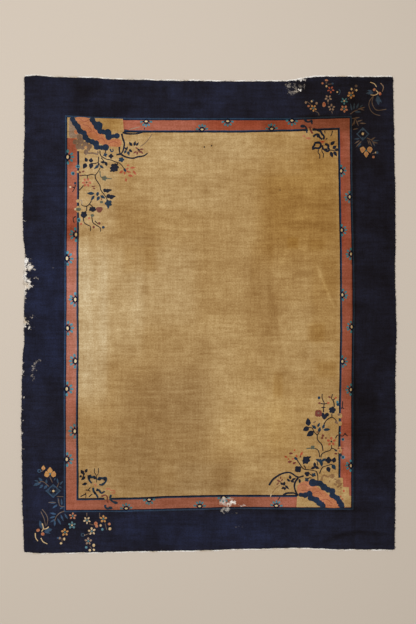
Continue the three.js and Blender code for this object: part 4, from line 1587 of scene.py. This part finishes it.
@dataclass(frozen=True)
class WoolPile(Yarn):
    """Cut wool pile, streaked by uneven dye lots and worn to the cotton in spots."""

    name: str = "wool_pile"
    roughness: float = 0.95
    gloss: float = 0.04
    sheen: float = 0.0
    grain_scale: float = 230.0
    grain_strength: float = 0.35
    grain_depth: float = 0.001
    cotton: CottonYarn = CottonYarn()
    bleach_value: float = 0.2
    bleach_saturation: float = -0.14
    bleach_hue: float = 0.007
    # Each streak as its scale across and along the rug, per metre, and its strength.
    streaks: tuple[tuple[float, float, float], ...] = (
        (0.9, 7.0, 0.24),
        (5.0, 5.5, 0.3),
        (6.0, 60.0, 0.34),
        (70.0, 6.0, 0.2),
        (24.0, 26.0, 0.26),
        (115.0, 115.0, 0.5),
    )
    # The dark border is dyed less evenly than the rest.
    border_streak: tuple[float, float, float] = (7.0, 6.0, 0.55)
    # How red, green and blue follow a streak.
    tint_powers: tuple[float, float, float] = (0.74, 1.0, 1.36)
    # Worn spots are frayed at these scales, and cotton shows between these shares of wear.
    fray_scales: tuple[float, ...] = (48.0, 125.0)
    fray_strength: float = 1.7
    worn_from: float = 0.36
    worn_to: float = 0.7

    def _weave(self, graph: Graph) -> bpy.types.NodeSocket:
        """Adds the tint of tone, painted light and streaks: the light ones are paler, the dark ones warmer.

        Args:
            graph: The material's tree.

        Returns:
            The tint.
        """
        # Painted light and shade of the spots and creases, with the spots' dye tone, in stops.
        value = graph.math("POWER", 2.0, graph.attribute("lift"))
        for streak in self.streaks:
            value = graph.math("MULTIPLY", value, graph.streaks(*streak))
        in_border = graph.math("LESS_THAN", graph.attribute("dye"), 1 / len(DYES))
        across, along, strength = self.border_streak
        uneven = graph.math("MULTIPLY", in_border, strength)
        value = graph.math("MULTIPLY", value, graph.streaks(across, along, uneven))
        tint = graph.node("ShaderNodeCombineColor")
        for socket, power in zip(tint.inputs, self.tint_powers):
            graph.feed(socket, graph.math("POWER", value, power))
        return tint.outputs[0]

    @staticmethod
    def _dye(graph: Graph) -> bpy.types.NodeSocket:
        """Adds the ramp that turns a face's dye number into its colour.

        Args:
            graph: The material's tree.

        Returns:
            The colour.
        """
        ramp = graph.node("ShaderNodeValToRGB")
        ramp.color_ramp.interpolation = "CONSTANT"
        stops = ramp.color_ramp.elements
        while len(stops) > 1:
            stops.remove(stops[-1])
        stops[0].position = 0.0
        for n, dye in enumerate(DYES):
            stop = stops[0] if n == 0 else stops.new(n / len(DYES))
            stop.color = light_of(dye)
        graph.feed(ramp.inputs[0], graph.attribute("dye"))
        return ramp.outputs[0]

    def _dyed(self, graph: Graph) -> bpy.types.NodeSocket:
        """Adds the colour of the dyed wool, faded and streaked.

        Args:
            graph: The material's tree.

        Returns:
            The colour.
        """
        faded = graph.node("ShaderNodeHueSaturation")
        for name, gain, plain in (
            ("Saturation", self.bleach_saturation, 1.0),
            ("Hue", self.bleach_hue, 0.5),
            ("Value", self.bleach_value, 1.0),
        ):
            changed = graph.math("MULTIPLY_ADD", graph.attribute("bleach"), gain, plain)
            graph.feed(faded.inputs[name], changed)
        graph.feed(faded.inputs["Color"], self._dye(graph))
        tinted = graph.node("ShaderNodeVectorMath", operation="MULTIPLY")
        graph.feed(tinted.inputs[0], faded.outputs[0])
        graph.feed(tinted.inputs[1], self._weave(graph))
        return tinted.outputs[0]

    def colour(self, graph: Graph) -> bpy.types.NodeSocket:
        """Adds the colour of the wool and of the cotton that shows where it is worn.

        Args:
            graph: The material's tree.

        Returns:
            The colour.
        """
        wear = graph.attribute("wear")
        frayed = wear
        for scale in self.fray_scales:
            frayed = graph.math("MULTIPLY", frayed, graph.streaks(scale, scale, self.fray_strength))
        worn = graph.node("ShaderNodeMapRange", interpolation_type="SMOOTHSTEP")
        worn.inputs["From Min"].default_value = self.worn_from
        worn.inputs["From Max"].default_value = self.worn_to
        graph.feed(worn.inputs["Value"], frayed)
        share = graph.math("MULTIPLY", worn.outputs[0], graph.math("MULTIPLY", wear, wear))
        bare = graph.mixed(wear, light_of(Finish.COTTON_SOILED), self.cotton.colour(graph))
        return graph.mixed(share, self._dyed(graph), bare)


def new_object(name: str, mesh: bpy.types.Mesh, material: bpy.types.Material) -> bpy.types.Object:
    """Puts a mesh in the scene.

    Args:
        name: The piece's name.
        mesh: Its mesh.
        material: Its one material.

    Returns:
        The piece's object.
    """
    mesh.materials.append(material)
    made = bpy.data.objects.new(name, mesh)
    bpy.context.scene.collection.objects.link(made)
    return made


class TopCut(NamedTuple):
    """The rug's top, cut along its pattern: places in pixels, triangles, their dyes' numbers and the rim."""

    places: np.ndarray
    faces: list[list[int]]
    dyes: list[int]
    rim: list[int]


@dataclass
class RugCloth:
    """The knotted cloth as one closed sheet: its dyed top, its rounded edge and its flat back."""

    outline: RugOutline
    chart: Chart
    height: float = 0.009
    edge_pitch: float = 0.006
    lump: float = 0.00035
    worn_depth: float = 0.0049
    ragged: float = 0.0007
    # Rings of the edge from the top down, each as its place outside the outline and its height.
    rings: tuple[Point, ...] = ((-0.0022, 0.0083), (-0.0003, 0.0062), (0.0, 0.003), (-0.0004, 0.0))
    # Pitches of the pile's points and their margin from the edge, in pixels.
    pile_pitch: float = 1.62
    worn_pitch: float = 0.55
    edge_margin: float = 1.44
    # Shares of a pitch that the points stray.
    pile_stray: float = 0.3
    worn_stray: float = 0.2
    hand: random.Random = field(default_factory=lambda: random.Random(SEED + 1))

    # The cut keeps triangles inside the outlines and merges closer points, in pixels and in metres.
    INSIDE = 1
    TOP_MERGE = 1e-4
    BACK_MERGE = 1e-6
    # Close points reach this many times a worn spot's half size.
    WORN_REACH = 1.4
    # A ring stays under this share of the top's height beside it.
    RING_SHARE = 0.8
    # The bake's square: its margins, the edge's strips and the small back.
    UV_LEFT = 0.01
    UV_LOW = 0.0125
    UV_SPAN = 0.975
    STRIPS = 4
    STRIP_LEFT = 0.80
    STRIP_PITCH = 0.02
    STRIP_RING = 0.004
    BACK_PLACE = (0.89, 0.02)
    BACK_SCALE = 0.04

    def _ring(self, stations: np.ndarray, outside: float) -> np.ndarray:
        """Gives one uneven ring of the edge, in metres."""
        uneven = np.array([self.hand.uniform(-self.ragged, self.ragged) for _ in stations])
        return stations + self.outline.outward(stations) * (outside + uneven)[:, None]

    def _scattered(self) -> np.ndarray:
        """Scatters loose points over the pile, closer together in the worn spots.

        Returns:
            One row of x and y for each point, in pixels.
        """
        rim = self.chart.pixels(self.outline.corners)
        low = rim.min(axis=0)
        high = rim.max(axis=0)
        spread = np.random.default_rng(SEED)
        columns, rows = (np.arange(low[k], high[k], self.pile_pitch) for k in (0, 1))
        x, y = np.meshgrid(columns, rows)
        x = x + (np.arange(len(x)) % 2)[:, None] * self.pile_pitch / 2
        even = np.stack([x.ravel(), y.ravel()], axis=1)
        even = even + spread.uniform(-self.pile_stray, self.pile_stray, even.shape) * self.pile_pitch
        close = [even]
        for spot in WORN_SPOTS:
            reach_x = spot.half_width * self.WORN_REACH
            reach_y = spot.half_length * self.WORN_REACH
            across = np.arange(spot.x - reach_x, spot.x + reach_x, self.worn_pitch)
            along = np.arange(spot.y - reach_y, spot.y + reach_y, self.worn_pitch)
            more = np.stack([side.ravel() for side in np.meshgrid(across, along)], axis=1)
            stray = spread.uniform(-self.worn_stray, self.worn_stray, more.shape)
            close.append(more + stray * self.worn_pitch)
        return self._inside(np.vstack(close))

    def _inside(self, places: np.ndarray) -> np.ndarray:
        """Keeps the places that are well inside the rug's outline.

        Args:
            places: One row of x and y for each place, in pixels.

        Returns:
            The rows kept.
        """
        middle = np.array(self.outline.middle[:2])
        away = self.chart.metres(places) - middle
        corners = self.outline.corners - middle
        angle = np.arctan2(away[:, 1], away[:, 0])
        around = np.arctan2(corners[:, 1], corners[:, 0])
        reach = np.interp(angle, around, np.hypot(corners[:, 0], corners[:, 1]), period=2 * math.pi)
        return places[np.hypot(away[:, 0], away[:, 1]) < reach - self.edge_margin * PIXEL]

    def _top(self, rim: np.ndarray, pattern: Pattern) -> TopCut:
        """Cuts the top into triangles along every line of the pattern.

        Args:
            rim: The top's edge in pixels.
            pattern: The drawing.

        Returns:
            The cut top, in which a triangle has the dye of the last shape that was painted there.
        """
        shapes = [([(float(x), float(y)) for x, y in rim], Dye.BORDER), *pattern.shapes]
        points: list[Vector] = []
        faces: list[list[int]] = []
        for outline, _ in shapes:
            first = len(points)
            upright = [(x, -y) for x, y in outline]
            area = sum(a[0] * b[1] - b[0] * a[1] for a, b in zip(upright, upright[1:] + upright[:1]))
            points.extend(Vector(p) for p in (upright if area > 0 else upright[::-1]))
            faces.append(list(range(first, len(points))))
        points.extend(Vector((float(x), -float(y))) for x, y in self._scattered())
        result = delaunay_2d_cdt(points, [], faces, self.INSIDE, self.TOP_MERGE, True)
        cut, _, pieces, sources, _, owners = result
        dyes = [DYES.index(shapes[max(within)][1]) for within in owners if within]
        triangles = [list(face) for face, within in zip(pieces, owners) if within]
        places = np.array([(p.x, -p.y) for p in cut])
        found = {given: n for n, given_here in enumerate(sources) for given in given_here if given < len(rim)}
        return TopCut(places, triangles, dyes, [found[n] for n in range(len(rim))])

    @staticmethod
    def _wall_faces(rows: list[list[int]]) -> list[list[int]]:
        """Joins each ring of the edge to the next one down.

        Args:
            rows: The rings' point numbers from the top down.

        Returns:
            Faces of four corners.
        """
        faces = []
        for upper, lower in zip(rows, rows[1:]):
            for n in range(len(upper)):
                after = (n + 1) % len(upper)
                faces.append([upper[n], lower[n], lower[after], upper[after]])
        return faces

    def _back_faces(self, ring: np.ndarray, row: list[int]) -> list[list[int]]:
        """Closes the lowest ring with faces that look down.

        Args:
            ring: The ring's places in metres.
            row: Its point numbers.

        Returns:
            Triangles.
        """
        points = [Vector(p) for p in ring]
        loop = list(range(len(row)))
        result = delaunay_2d_cdt(points, [], [loop], self.INSIDE, self.BACK_MERGE, True)
        _, _, pieces, sources, _, owners = result
        source = [min(given) for given in sources]
        return [[row[source[n]] for n in face][::-1] for face, within in zip(pieces, owners) if within]

    def build(self, pattern: Pattern, material: bpy.types.Material) -> bpy.types.Object:
        """Makes the cloth's mesh with its dyes, wear, tones and painted light.

        Args:
            pattern: The drawing.
            material: The wool's material.

        Returns:
            The rug's object.
        """
        stations = self.outline.stations(self.edge_pitch)
        rings = [self._ring(stations, outside) for outside, _ in self.rings]
        top = self._top(self.chart.pixels(rings[0]), pattern)
        edge = top.rim
        wear = Surface.wear(top.places)
        lumps = np.array([self.hand.uniform(-self.lump, self.lump) for _ in top.places])
        high = self.height + Surface.swell(top.places) + lumps * (1 - wear) - self.worn_depth * wear
        high[edge] = self.rings[0][1] - self.worn_depth * wear[edge]
        points = [np.column_stack([self.chart.metres(top.places), high])]
        wears = [wear]
        rows = [edge]
        total = len(top.places)
        count = len(stations)
        for ring, (_, level) in zip(rings[1:], self.rings[1:]):
            below = np.minimum(level, high[edge] * self.RING_SHARE) if level > 0 else np.zeros(count)
            points.append(np.column_stack([ring, below]))
            wears.append(wear[edge] if level > 0 else np.zeros(count))
            rows.append(list(range(total, total + count)))
            total += count
        walls = self._wall_faces(rows)
        back = self._back_faces(rings[-1], rows[-1])
        border, under = (DYES.index(dye) for dye in (Dye.BORDER, Dye.BACK))
        dyes = [*top.dyes, *[border] * len(walls), *[under] * len(back)]
        mesh = bpy.data.meshes.new("rug_cloth")
        mesh.from_pydata(np.vstack(points).tolist(), [], [*top.faces, *walls, *back])
        smooth = [True] * (len(top.faces) + len(walls)) + [False] * len(back)
        mesh.polygons.foreach_set("use_smooth", smooth)
        self._mark(mesh, np.array(dyes), np.concatenate(wears))
        self._flatten(mesh, len(top.faces), len(walls), count)
        return new_object("rug_cloth", mesh, material)

    def _mark(self, mesh: bpy.types.Mesh, dyes: np.ndarray, wear: np.ndarray) -> None:
        """Writes the dye, the wear, the tones and the painted light that the material reads.

        Args:
            mesh: The cloth's mesh.
            dyes: The dye's number of each face.
            wear: The wear of each point.
        """
        middle_of_step = (dyes + 0.5) / len(DYES)
        flat = np.zeros(len(mesh.vertices) * 3, np.float32)
        mesh.vertices.foreach_get("co", flat)
        # Tone of the spots, and painted light and shade of the spots and creases.
        bleach, lift = Surface.tones_and_painted_light(self.chart.pixels(flat.reshape(-1, 3)[:, :2]))
        for name, domain, values in (
            ("dye", "FACE", middle_of_step),
            ("wear", "POINT", wear),
            ("bleach", "POINT", bleach),
            ("lift", "POINT", lift),
        ):
            attribute = mesh.attributes.new(name, "FLOAT", domain)
            attribute.data.foreach_set("value", values.astype(np.float32))

    def _flatten(self, mesh: bpy.types.Mesh, tops: int, walls: int, count: int) -> None:
        """Lays the mesh out on one square: the top large, the edge in strips, the back small.

        Args:
            mesh: The cloth's mesh.
            tops: How many faces the top has.
            walls: How many faces the edge has.
            count: How many stations go round the edge.
        """
        layer = mesh.uv_layers.new(name="OFBake")
        low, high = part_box("rug")
        scale = self.UV_SPAN / (high.y - low.y)
        values = np.zeros((len(mesh.loops), 2), np.float32)
        strip = math.ceil(count / self.STRIPS)
        for face in mesh.polygons:
            wall = face.index - tops
            for corner, loop in enumerate(face.loop_indices):
                place = mesh.vertices[mesh.loops[loop].vertex_index].co
                x = place.x - low.x
                y = place.y - low.y
                if wall < 0:
                    values[loop] = (self.UV_LEFT + x * scale, self.UV_LOW + y * scale)
                elif wall < walls:
                    ring, n = divmod(wall, count)
                    along = n % strip + (1 if corner in (2, 3) else 0)
                    down = ring + (1 if corner in (1, 2) else 0)
                    across = self.STRIP_LEFT + self.STRIP_PITCH * (n // strip) + self.STRIP_RING * down
                    values[loop] = (across, self.UV_LOW + self.UV_SPAN * along / strip)
                else:
                    left, bottom = self.BACK_PLACE
                    values[loop] = (left + x * self.BACK_SCALE, bottom + y * self.BACK_SCALE)
        layer.data.foreach_set("uv", values.ravel())


@dataclass
class YarnMesh:
    """Gathers many bent four-sided yarns in one mesh."""

    points: list[np.ndarray] = field(default_factory=list)
    faces: list[list[int]] = field(default_factory=list)
    total: int = 0

    # Below this sideways share a yarn counts as upright.
    UPRIGHT = 0.05

    def add(self, path: np.ndarray, half: float, tip: float = 1.0) -> None:
        """Adds one yarn.

        Args:
            path: Its middle line, one row of x, y and z for each point.
            half: Half its thickness at the start.
            tip: Share of that thickness at its end.
        """
        ahead = np.gradient(path, axis=0)
        ahead /= np.maximum(np.linalg.norm(ahead, axis=1, keepdims=True), 1e-9)
        side = np.cross(ahead, np.array([0.0, 0.0, 1.0]))
        weak = np.linalg.norm(side, axis=1) < self.UPRIGHT
        side[weak] = np.array([1.0, 0.0, 0.0])
        side /= np.linalg.norm(side, axis=1, keepdims=True)
        up = np.cross(side, ahead)
        thick = (half * np.linspace(1.0, tip, len(path)))[:, None]
        corners = [path + side * thick, path + up * thick, path - side * thick, path - up * thick]
        self.points.append(np.stack(corners, axis=1).reshape(-1, 3))
        first = self.total
        for n in range(len(path) - 1):
            for k in range(4):
                here = first + n * 4 + k
                beside = first + n * 4 + (k + 1) % 4
                self.faces.append([here, here + 4, beside + 4, beside])
        self.total += len(path) * 4
        self.faces.append([first + k for k in (0, 1, 2, 3)])
        self.faces.append([self.total - 4 + k for k in (3, 2, 1, 0)])

    def build(self, name: str, material: bpy.types.Material) -> bpy.types.Object:
        """Makes the object of all the yarns.

        Args:
            name: The piece's name.
            material: Its material.

        Returns:
            The object.
        """
        mesh = bpy.data.meshes.new(name)
        mesh.from_pydata(np.vstack(self.points).tolist(), [], self.faces)
        mesh.shade_smooth()
        return new_object(name, mesh, material)


@dataclass
class WarpEnd:
    """The frayed cotton at one end: a few wefts close to the pile and the loose warps that leave them."""

    node: str
    side: float
    pitch: float = 0.0036
    stray: float = 0.0008
    warp_half: float = 0.0008
    warp_tip: float = 0.7
    weft_half: float = 0.0009
    weft_rows: tuple[float, ...] = (0.0012, 0.0029, 0.0046, 0.0063, 0.0079)
    weft_step: float = 0.006
    weft_wave: float = 0.0004
    weft_lift: float = 0.0002
    weft_margin: float = 0.001
    warp_margin: float = 0.002
    shortest: float = 0.0012
    longest: float = 0.006
    lean: float = 0.5
    curl: float = 0.4
    # A warp starts this far under the pile and this high, and comes down to the floor.
    tuck: float = 0.001
    rise: float = 0.0018

    # The warps' lengths follow waves of these runs, in radians per metre, with a start within a full turn.
    CLUMPS = (41, 97, 17)
    FULL_TURN = 6.28
    MEAN_SHARE = 0.35
    CLUMP_SHARE = 0.22
    LOOSE_SHARE = 0.3
    WARP_STATIONS = (0.0, 0.4, 0.72, 1.0)
    DROOP_POWER = 0.7

    def build(self, outline: RugOutline, material: bpy.types.Material) -> bpy.types.Object:
        """Makes the end's yarns.

        Args:
            outline: The rug's outline, whose end the yarns leave.
            material: The cotton's material.

        Returns:
            The end's object.
        """
        hand = random.Random(SEED + (2 if self.side > 0 else 3))
        yarns = YarnMesh()
        low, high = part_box(self.node)
        along = np.arange(low.x + self.weft_margin, high.x - self.weft_margin, self.weft_step)
        course = outline.end_course(self.side, along)
        for row in self.weft_rows:
            wave = np.array([hand.uniform(-self.weft_wave, self.weft_wave) for _ in along])
            level = np.full(len(along), self.weft_half + self.weft_lift)
            yarns.add(np.column_stack([along, course + self.side * (row + wave), level]), self.weft_half)
        phases = [hand.uniform(0, self.FULL_TURN) for _ in self.CLUMPS]
        for x in np.arange(low.x + self.warp_margin, high.x - self.warp_margin, self.pitch):
            reach = self._reach(x, phases, hand)
            path = self._warp(outline, hand, x + hand.uniform(-self.stray, self.stray), reach)
            yarns.add(path, self.warp_half, self.warp_tip)
        return yarns.build(self.node + "_yarns", material)

    def _reach(self, x: float, phases: list[float], hand: random.Random) -> float:
        """Gives how far one warp reaches out of the rug.

        Args:
            x: Its place across the rug.
            phases: Where the waves of its length start.
            hand: Source of its own unevenness.

        Returns:
            Metres from the end's course.
        """
        clump = 0.0
        for run, phase in zip(self.CLUMPS, phases):
            clump += math.sin(x * run + phase)
        loose = hand.uniform(-self.LOOSE_SHARE, self.LOOSE_SHARE)
        share = min(max(self.MEAN_SHARE + self.CLUMP_SHARE * clump + loose, 0.0), 1.0)
        return self.weft_rows[-1] + self.shortest + (self.longest - self.shortest) * share

    def _warp(self, outline: RugOutline, hand: random.Random, x: float, reach: float) -> np.ndarray:
        """Gives the line of one loose warp from under the pile to the floor.

        Args:
            outline: The rug's outline.
            hand: Source of its lean and curl.
            x: Its place across the rug.
            reach: How far it reaches.

        Returns:
            One row of x, y and z for each point.
        """
        foot = float(outline.end_course(self.side, np.array([x]))[0])
        lean = hand.uniform(-self.lean, self.lean)
        curl = hand.uniform(-self.curl, self.curl)
        rows = []
        for share in self.WARP_STATIONS:
            out = reach * share - self.tuck
            aside = reach * (lean * share + curl * share * share) * share
            level = self.warp_half + self.rise * (1 - share) ** self.DROOP_POWER
            rows.append((x + aside, foot + self.side * out, level))
        return np.array(rows)


@dataclass
class EdgeTufts:
    """Short tufts of the border's wool that lean out along the rug's edges."""

    outline: RugOutline
    pitch: float = 0.0042
    half: float = 0.0015
    tip: float = 0.45
    reach: tuple[float, float] = (0.0004, 0.0085)
    end_reach: tuple[float, float] = (0.0006, 0.0062)
    level: tuple[float, float] = (0.0058, 0.0078)
    aside: float = 0.0015
    # Depths inside the edge of a tuft's root, of its bend and of the place whose wear it follows.
    root_depth: float = 0.0035
    bend_depth: float = 0.0006
    wear_depth: float = 0.004

    # A spot that is worn more than this has no tufts, and an edge that faces so far along is an end.
    WORN_OFF = 0.3
    END_FACING = 0.7
    # Lengths follow a wave from tuft to tuft, whose run drifts, and each tuft's own chance.
    CLUMP_RUN = 0.9
    CLUMP_POWER = 3
    DRIFT = 2
    DRIFT_RUN = 0.23
    CHANCE_POWER = 4
    # Shares of the root's height at the bend and at the tip.
    BEND_LEVEL = 0.93
    TIP_LEVEL = (0.5, 0.75)

    def _length(self, n: int, out: np.ndarray, hand: random.Random) -> float:
        """Gives how far one tuft reaches out.

        Args:
            n: Its number round the rug; its neighbours are about as long.
            out: The direction out of the rug.
            hand: Source of its own unevenness.

        Returns:
            Metres from the outline.
        """
        low, high = self.end_reach if abs(out[1]) > self.END_FACING else self.reach
        drift = self.DRIFT * math.sin(self.DRIFT_RUN * n)
        clump = 0.5 + 0.5 * math.sin(self.CLUMP_RUN * n + drift)
        share = 0.5 * clump**self.CLUMP_POWER + 0.5 * hand.random() ** self.CHANCE_POWER
        return low + (high - low) * share

    def build(self, chart: Chart, material: bpy.types.Material) -> bpy.types.Object:
        """Makes the tufts where the pile still stands.

        Args:
            chart: Places pixels in the rug's frame.
            material: The wool's material.

        Returns:
            The tufts' object.
        """
        hand = random.Random(SEED + 4)
        stations = self.outline.stations(self.pitch)
        outward = self.outline.outward(stations)
        wear = Surface.wear(chart.pixels(stations - outward * self.wear_depth))
        tufts = YarnMesh()
        for n, (foot, out, worn) in enumerate(zip(stations, outward, wear)):
            if worn > self.WORN_OFF:
                continue
            reach = self._length(n, out, hand)
            aside = np.array([-out[1], out[0]]) * hand.uniform(-self.aside, self.aside)
            level = hand.uniform(*self.level)
            root = (*(foot - out * self.root_depth), level)
            bend = (*(foot - out * self.bend_depth + aside * 0.5), level * self.BEND_LEVEL)
            tip = (*(foot + out * reach + aside), level * hand.uniform(*self.TIP_LEVEL))
            tufts.add(np.array([root, bend, tip]), self.half, self.tip)
        return tufts.build("edge_tufts", material)


@dataclass
class BareWarps:
    """Cotton warps that lie open where the pile is gone."""

    chart: Chart
    pitch: float = 0.0055
    half: float = 0.0008
    tip: float = 0.9
    level: float = 0.0045
    uneven: tuple[float, float] = (-0.0003, 0.0004)
    step: float = 0.006
    # How far a warp drifts aside, in pixels.
    drift: float = 0.05

    # Warps lie in spots at least this bare, over this share of the width and these shares of the length.
    BARE_FROM = 0.95
    WIDTH_SHARE = 0.7
    LENGTH_SHARES = (0.35, 0.85)
    LEAST_LENGTH = 0.05

    def build(self, material: bpy.types.Material) -> bpy.types.Object:
        """Makes the warps of every bare spot.

        Args:
            material: The cotton's material.

        Returns:
            The warps' object.
        """
        hand = random.Random(SEED + 5)
        yarns = YarnMesh()
        for spot in WORN_SPOTS:
            if spot.share < self.BARE_FROM:
                continue
            count = max(2, round(2 * spot.half_width * PIXEL / self.pitch))
            for n in range(count):
                across = (n + 0.5) / count * 2 - 1
                bow = math.sqrt(max(1 - across**2, self.LEAST_LENGTH))
                half = spot.half_length * bow * hand.uniform(*self.LENGTH_SHARES)
                x = spot.x + across * spot.half_width * self.WIDTH_SHARE
                pieces = max(2, round(2 * half * PIXEL / self.step))
                along = np.linspace(spot.y - half, spot.y + half, pieces + 1)
                drift = np.array([hand.uniform(-self.drift, self.drift) for _ in along])
                flat = self.chart.metres(np.column_stack([x + drift, along]))
                level = [self.level + hand.uniform(*self.uneven) for _ in along]
                yarns.add(np.column_stack([flat, level]), self.half, self.tip)
        return yarns.build("bare_warps", material)


@dataclass(frozen=True)
class Studio:
    """A plain pale floor, soft light and a camera straight above."""

    floor_size: float = 60.0
    floor_roughness: float = 0.7
    lens: float = 50.0
    sensor: float = 36.0
    view_depth: float = 200.0
    room_light: float = 0.53
    key_power: float = 450.0
    key_size: float = 7.0
    key_place: tuple[float, float, float] = (-1.7, 1.5, 7.0)
    pile_top: float = 0.009

    def floor(self) -> bpy.types.Object:
        """Makes the floor.

        Returns:
            The floor's object.
        """
        bpy.ops.object.select_all(action="DESELECT")
        bpy.ops.mesh.primitive_plane_add(size=self.floor_size, location=(0, 0, 0))
        made = bpy.context.object
        made.name = "floor"
        material = bpy.data.materials.new("plain_floor")
        material.use_nodes = True
        body = material.node_tree.nodes["Principled BSDF"]
        body.inputs["Base Color"].default_value = light_of(Finish.FLOOR)
        body.inputs["Roughness"].default_value = self.floor_roughness
        made.data.materials.append(material)
        return made

    def lights(self) -> None:
        """Sets the room's even light and one large soft lamp."""
        scene = bpy.context.scene
        scene.world = bpy.data.worlds.new("room")
        scene.world.use_nodes = True
        sky = scene.world.node_tree.nodes["Background"]
        sky.inputs["Color"].default_value = light_of(Finish.ROOM)
        sky.inputs["Strength"].default_value = self.room_light
        bpy.ops.object.light_add(type="AREA", location=self.key_place)
        lamp = bpy.context.object
        lamp.name = "soft_lamp"
        lamp.data.energy = self.key_power
        lamp.data.size = self.key_size
        aim = Vector((0, 0, 0)) - lamp.location
        lamp.rotation_euler = aim.to_track_quat("-Z", "Y").to_euler()
        lamp.visible_camera = False

    def camera(self, chart: Chart) -> None:
        """Sets the camera as the photograph was taken.

        Args:
            chart: Places pixels in the rug's frame.
        """
        scene = bpy.context.scene
        middle = chart.metres(np.array([[PICTURE_PX[0] / 2, PICTURE_PX[1] / 2]]))[0]
        away = PICTURE_PX[1] * PIXEL * self.lens / self.sensor + self.pile_top
        bpy.ops.object.camera_add(location=(float(middle[0]), float(middle[1]), away), rotation=(0, 0, 0))
        made = bpy.context.object
        made.data.lens = self.lens
        made.data.sensor_width = self.sensor
        made.data.clip_end = self.view_depth
        scene.camera = made
        scene.view_settings.view_transform = "Standard"


def main() -> None:
    """Builds the rug piece by piece."""
    logging.basicConfig(level=logging.INFO, format="%(name)s: %(message)s")
    bpy.ops.object.select_all(action="DESELECT")
    outline = RugOutline()
    chart = Chart(outline.middle)
    build_streaks()
    wool_material = WoolPile().material()
    cotton_material = CottonYarn().material()

    studio = Studio()
    floor = studio.floor()
    studio.lights()
    studio.camera(chart)

    rug = RugCloth(outline, chart).build(rug_pattern(), wool_material)
    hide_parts("rug")
    ends = []
    for node, side in (("warp_end_top", 1.0), ("warp_end_bottom", -1.0)):
        end = WarpEnd(node, side).build(outline, cotton_material)
        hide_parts(node)
        ends.append(end)
    tufts = EdgeTufts(outline).build(chart, wool_material)
    warps = BareWarps(chart).build(cotton_material)
    for piece, slot in (
        (rug, "wool_pile"),
        (tufts, "wool_pile"),
        (ends[0], "cotton_warp"),
        (ends[1], "cotton_warp"),
        (warps, "cotton_warp"),
    ):
        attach(piece, "root")
        LOG.info("%s has %d faces", piece.name, len(piece.data.polygons))


if __name__ == "__main__":
    main()
